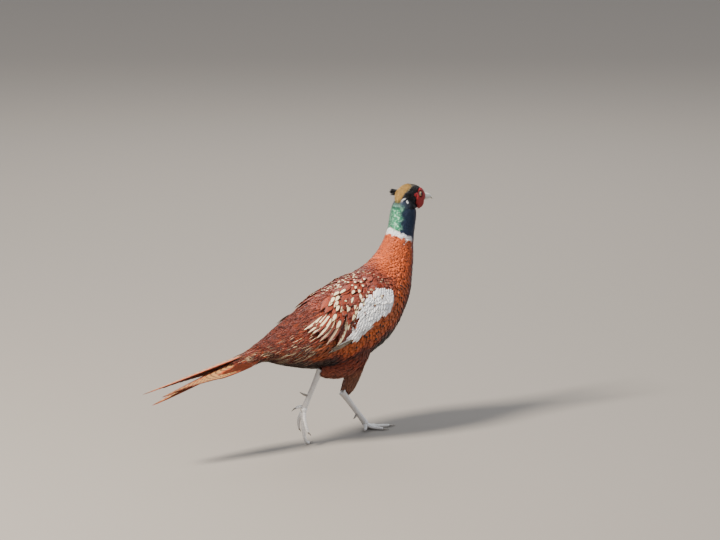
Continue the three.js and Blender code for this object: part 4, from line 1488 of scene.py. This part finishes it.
def wart_field(points, spacing):
    """Round warts on a jittered grid: 1 at the middle of a wart, 0 between warts."""
    cell = np.floor(points / spacing).astype(int)
    best = np.full(len(points), 9.0)
    for dx in (-1, 0, 1):
        for dy in (-1, 0, 1):
            for dz in (-1, 0, 1):
                near = cell + (dx, dy, dz)
                mixed = (near[:, 0] * 73856093) ^ (near[:, 1] * 19349663) ^ (near[:, 2] * 83492791)
                jitter = np.stack([((mixed >> k) & 255) / 255 for k in (0, 7, 13)], axis=-1)
                spot = (near + 0.2 + 0.6 * jitter) * spacing
                best = np.minimum(best, np.linalg.norm(points - spot, axis=1) / spacing)
    return np.clip(1 - best * 1.35, 0, 1)


class PHEASANT_OT_wattles(bpy.types.Operator):
    """Bare red skin of the face, with warts and a hanging lobe."""

    bl_idname = "pheasant.wattles"
    bl_label = "Wattles"

    def execute(self, context):
        material = shared("wattle skin", wattle_finish)
        for name, side in SIDES:
            lobe = ball("lobe", head_spot(WATTLE_LOBE, side), (5, 1.8, 3.6))
            obj = merged(f"wattle_skin_{name}", [f"wattle_{name}"], 0.42, 10, [lobe])
            points, normals = points_of(obj)
            local = into_head(points)
            warts = wart_field(local, 1.25)
            dx = (local[:, 0] - EYE[0]) / 9
            dz = (local[:, 2] - EYE[2]) / 9
            near_eye = 1 - smooth(0.6, 1.3, np.hypot(dx, dz))
            grow = (0.5 + 0.55 * warts) * (1 - 0.5 * near_eye)
            move_points(obj, points + normals * grow[:, None])
            # The wart height also sets the painted shade in the hollows between the warts
            add_colours(obj, "height", 0.35 + 0.65 * warts)
            finish_piece(obj, material, "wattle_skin", f"wattle_{name}")
        return {"FINISHED"}


class PHEASANT_OT_eyes(bpy.types.Operator):
    """Eyes with a pale iris, and their lids."""

    bl_idname = "pheasant.eyes"
    bl_label = "Eyes"

    def execute(self, context):
        material = shared("eyeball", eye_finish)
        rim = shared("eyelid", plain_finish, (0.09, 0.03, 0.03), 0.6)
        for name, side in SIDES:
            centre = head_spot(EYE, side)
            obj = ball(f"eyeball_{name}", centre, (EYE_RADIUS,) * 3, 48)
            obj.data.polygons.foreach_set("use_smooth", np.ones(len(obj.data.polygons), dtype=bool))
            points, _ = points_of(obj)
            axis = turn_about_z(unit(np.array((0.22, side * 0.97, 0.05))), HEAD_TURN)
            away = np.degrees(np.arccos(np.clip(unit(points - centre) @ axis, -1, 1)))
            add_colours(obj, "gaze", away / RIM_ANGLE)
            finish_piece(obj, material, "eye", f"eye_{name}")
            lids = lid_ring(name, centre, axis)
            finish_piece(lids, rim, "wattle_skin")
        return {"FINISHED"}


def lid_ring(name, centre, axis):
    """The two lids as one slightly almond-shaped rim round the eye."""
    turns, sides = 56, 10
    across = unit(np.cross(axis, (0, 0, 1.0)))
    up = np.cross(across, axis)
    turn = np.arange(turns) / turns * 2 * math.pi
    points = []
    for a in turn:
        out = across * math.cos(a) * 1.06 + up * math.sin(a) * 0.9
        ring_centre = centre + axis * EYE_RADIUS * 0.62 + out * EYE_RADIUS * 0.83
        for b in np.arange(sides) / sides * 2 * math.pi:
            points.append(ring_centre + unit(out) * math.cos(b) * 0.75 + axis * math.sin(b) * 0.6)
    grid = np.arange(turns * sides).reshape(turns, sides)
    ahead = np.roll(grid, -1, axis=0)
    corners = (grid, ahead, np.roll(ahead, -1, axis=1), np.roll(grid, -1, axis=1))
    faces = np.stack(corners, axis=-1).reshape(-1, 4)
    return build_mesh(f"eyelid_{name}", np.array(points), faces)


class PHEASANT_OT_bill(bpy.types.Operator):
    """The two halves of the bill, smooth horn with fine growth lines."""

    bl_idname = "pheasant.bill"
    bl_label = "Bill"

    def execute(self, context):
        s = settings()
        material = shared("bill horn", horn_finish, s.bill, (0.2, 0.18, 0.15), 0.38)
        for half in ("upper", "lower"):
            obj = merged(f"bill_horn_{half}", [f"bill_{half}"], 0.4, 5)
            points, _ = points_of(obj)
            local = into_head(points)
            shade = smooth(10, 0, local[:, 0] - BILL_ROOT[0]) * 0.8
            add_colours(obj, "shade", shade)
            finish_piece(obj, material, "bill_horn", f"bill_{half}")
        return {"FINISHED"}


# Legs

SCUTE_PITCH = 3.4
TOE_PITCH = 2.7
HOCKS = {-1: (-50.5, -24, 127.5), 1: (31.5, 23, 69)}
ANKLES = {-1: (-77.5, -14, 62), 1: (73, 14, 12)}


def scutes(run, pitch):
    """The height of overlapping scutes along a limb."""
    return (1 - (run / pitch) % 1) ** 0.6


def tarsus_height(run, turn):
    """Scutes in front of the tarsus, with softer round scales at the sides and behind."""
    front = smooth(-0.2, 0.6, np.cos(turn))
    side_scales = 0.5 + 0.5 * np.sin(run / SCUTE_PITCH * 4 * math.pi) * np.sin(turn * 9)
    return mix(side_scales * 0.5, scutes(run, SCUTE_PITCH), front)


class PHEASANT_OT_legs(bpy.types.Operator):
    """Bare legs and toes, with scutes in front and small scales behind."""

    bl_idname = "pheasant.legs"
    bl_label = "Legs"

    def execute(self, context):
        s = settings()
        material = shared("leg scales", horn_finish, s.scale, (0.36, 0.31, 0.26), 0.5)
        for name, side in SIDES:
            hock, ankle = np.array(HOCKS[side], float), np.array(ANKLES[side], float)
            axis = unit(ankle - hock)
            front = unit(np.cross(np.array((0, 1.0, 0)), axis))
            front = front if front[0] > 0 else -front
            sideways = np.cross(axis, front)
            obj = merged(f"tarsus_scales_{name}", [f"tarsus_{name}"], 0.6, 4)
            points, normals = points_of(obj)
            run = (points - hock) @ axis
            off = points - hock - run[:, None] * axis
            turn = np.arctan2(off @ sideways, off @ front)
            height = tarsus_height(run, turn)
            move_points(obj, points + normals * (height * 0.5 - 0.2)[:, None])
            add_colours(obj, "shade", (1 - height) * 0.8)
            finish_piece(obj, material, "leg_scales", f"tarsus_{name}")
            foot = merged(f"foot_scales_{name}", [f"foot_{name}"], 0.55, 4)
            points, normals = points_of(foot)
            run = np.linalg.norm(points - ankle, axis=1)
            above = smooth(-0.3, 0.5, normals[:, 2] if side > 0 else np.abs(normals[:, 1]))
            height = scutes(run, TOE_PITCH) * above
            move = (height * 0.45 - 0.15) * smooth(0.4, 1.2, points[:, 2])
            points += normals * move[:, None]
            points[:, 2] = np.maximum(points[:, 2], 0)
            move_points(foot, points)
            add_colours(foot, "shade", (1 - height) * 0.8)
            finish_piece(foot, material, "leg_scales", f"foot_{name}")
        return {"FINISHED"}


class PHEASANT_OT_claws(bpy.types.Operator):
    """Claws and spurs of dark horn."""

    bl_idname = "pheasant.claws"
    bl_label = "Claws and spurs"

    def execute(self, context):
        material = shared("claw horn", horn_finish, (0.3, 0.26, 0.22), (0.05, 0.04, 0.035), 0.35)
        nodes = [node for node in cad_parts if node.startswith(("claw_", "spur_"))]
        for node in sorted(nodes):
            kind, rest = node.split("_", 1)
            obj = merged(f"{kind}_horn_{rest}", [node], 0.35, 3)
            points, _ = points_of(obj)
            spread = np.linalg.norm(points - points.mean(axis=0), axis=1)
            add_colours(obj, "shade", spread / spread.max() * 0.6)
            finish_piece(obj, material, "claw_horn", node)
        return {"FINISHED"}


# Stage

FLOOR_COLOUR = (0.2, 0.18, 0.155)
ROOM_COLOUR = (0.82, 0.88, 1, 1)
ROOM_LIGHT = 0.7
VIEW_RIGHT = (0.788, -0.616, 0)
VIEW_UP = (0.128, 0.164, 0.978)
VIEW_TARGET = (68.6, 20.1, 273.2)
VIEW_DISTANCE = 12000
VIEW_WIDTH = 1200


class PHEASANT_OT_stage(bpy.types.Operator):
    """Pale floor, soft light and the camera."""

    bl_idname = "pheasant.stage"
    bl_label = "Stage"

    def execute(self, context):
        scene = context.scene
        bpy.ops.mesh.primitive_plane_add(size=16, location=(0, 0, 0))
        floor = context.object
        floor.name = "floor"
        floor.data.materials.append(plain_finish("floor", FLOOR_COLOUR, 0.9))
        world = bpy.data.worlds.new("soft room")
        scene.world = world
        world.use_nodes = True
        room = world.node_tree.nodes["Background"]
        room.inputs["Color"].default_value = ROOM_COLOUR
        room.inputs["Strength"].default_value = ROOM_LIGHT
        right, up = Vector(VIEW_RIGHT).normalized(), Vector(VIEW_UP).normalized()
        back = right.cross(up)
        target = Vector(to_metres(VIEW_TARGET))
        lights = (
            ("key", -right * 2.2 + back * 1.6 + Vector((0, 0, 2.4)), 0.8, 560, (1, 0.92, 0.82)),
            ("fill", right * 2.6 + back * 1.4 + Vector((0, 0, 1.2)), 2.6, 30, (0.9, 0.95, 1)),
            ("rim", -back * 2.4 + Vector((0, 0, 2.0)), 2.0, 45, (1, 0.98, 0.95)),
        )
        for name, offset, size, power, colour in lights:
            data = bpy.data.lights.new(name, "AREA")
            data.size = size
            data.energy = power
            data.color = colour
            lamp = add_object(name, data)
            lamp.location = target + offset
            lamp.rotation_euler = (-offset).to_track_quat("-Z", "Y").to_euler()
        data = bpy.data.cameras.new("camera")
        data.lens = data.sensor_width * VIEW_DISTANCE / VIEW_WIDTH
        data.clip_end = 100
        camera = add_object("camera", data)
        turn = Matrix((right, up, back)).transposed().to_4x4()
        camera.matrix_world = Matrix.Translation(target + back * VIEW_DISTANCE * MM) @ turn
        scene.camera = camera
        return {"FINISHED"}


OPERATORS = (
    PHEASANT_OT_skin,
    PHEASANT_OT_body_coat,
    PHEASANT_OT_head_coat,
    PHEASANT_OT_ear_tufts,
    PHEASANT_OT_wings,
    PHEASANT_OT_tail,
    PHEASANT_OT_rump_plumes,
    PHEASANT_OT_leg_coat,
    PHEASANT_OT_wattles,
    PHEASANT_OT_eyes,
    PHEASANT_OT_bill,
    PHEASANT_OT_legs,
    PHEASANT_OT_claws,
    PHEASANT_OT_stage,
)


class PHEASANT_PT_panel(bpy.types.Panel):
    """Lists the steps that build the bird."""

    bl_label = "Pheasant"
    bl_idname = "PHEASANT_PT_panel"
    bl_space_type = "VIEW_3D"
    bl_region_type = "UI"
    bl_category = "Pheasant"

    def draw(self, context):
        for name in PheasantSizes.__annotations__:
            self.layout.prop(context.scene.pheasant, name)
        for operator in OPERATORS:
            self.layout.operator(operator.bl_idname)


CLASSES = (PheasantSizes, *OPERATORS, PHEASANT_PT_panel)


def register():
    """Registers the classes and the scene's settings."""
    for kind in CLASSES:
        bpy.utils.register_class(kind)
    bpy.types.Scene.pheasant = bpy.props.PointerProperty(type=PheasantSizes)


def unregister():
    """Takes the classes and the scene's settings away again."""
    del bpy.types.Scene.pheasant
    for kind in reversed(CLASSES):
        bpy.utils.unregister_class(kind)


def main():
    """Builds the bird."""
    register()
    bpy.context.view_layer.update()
    for operator in OPERATORS:
        group, name = operator.bl_idname.split(".")
        getattr(getattr(bpy.ops, group), name)()


if __name__ == "__main__":
    main()
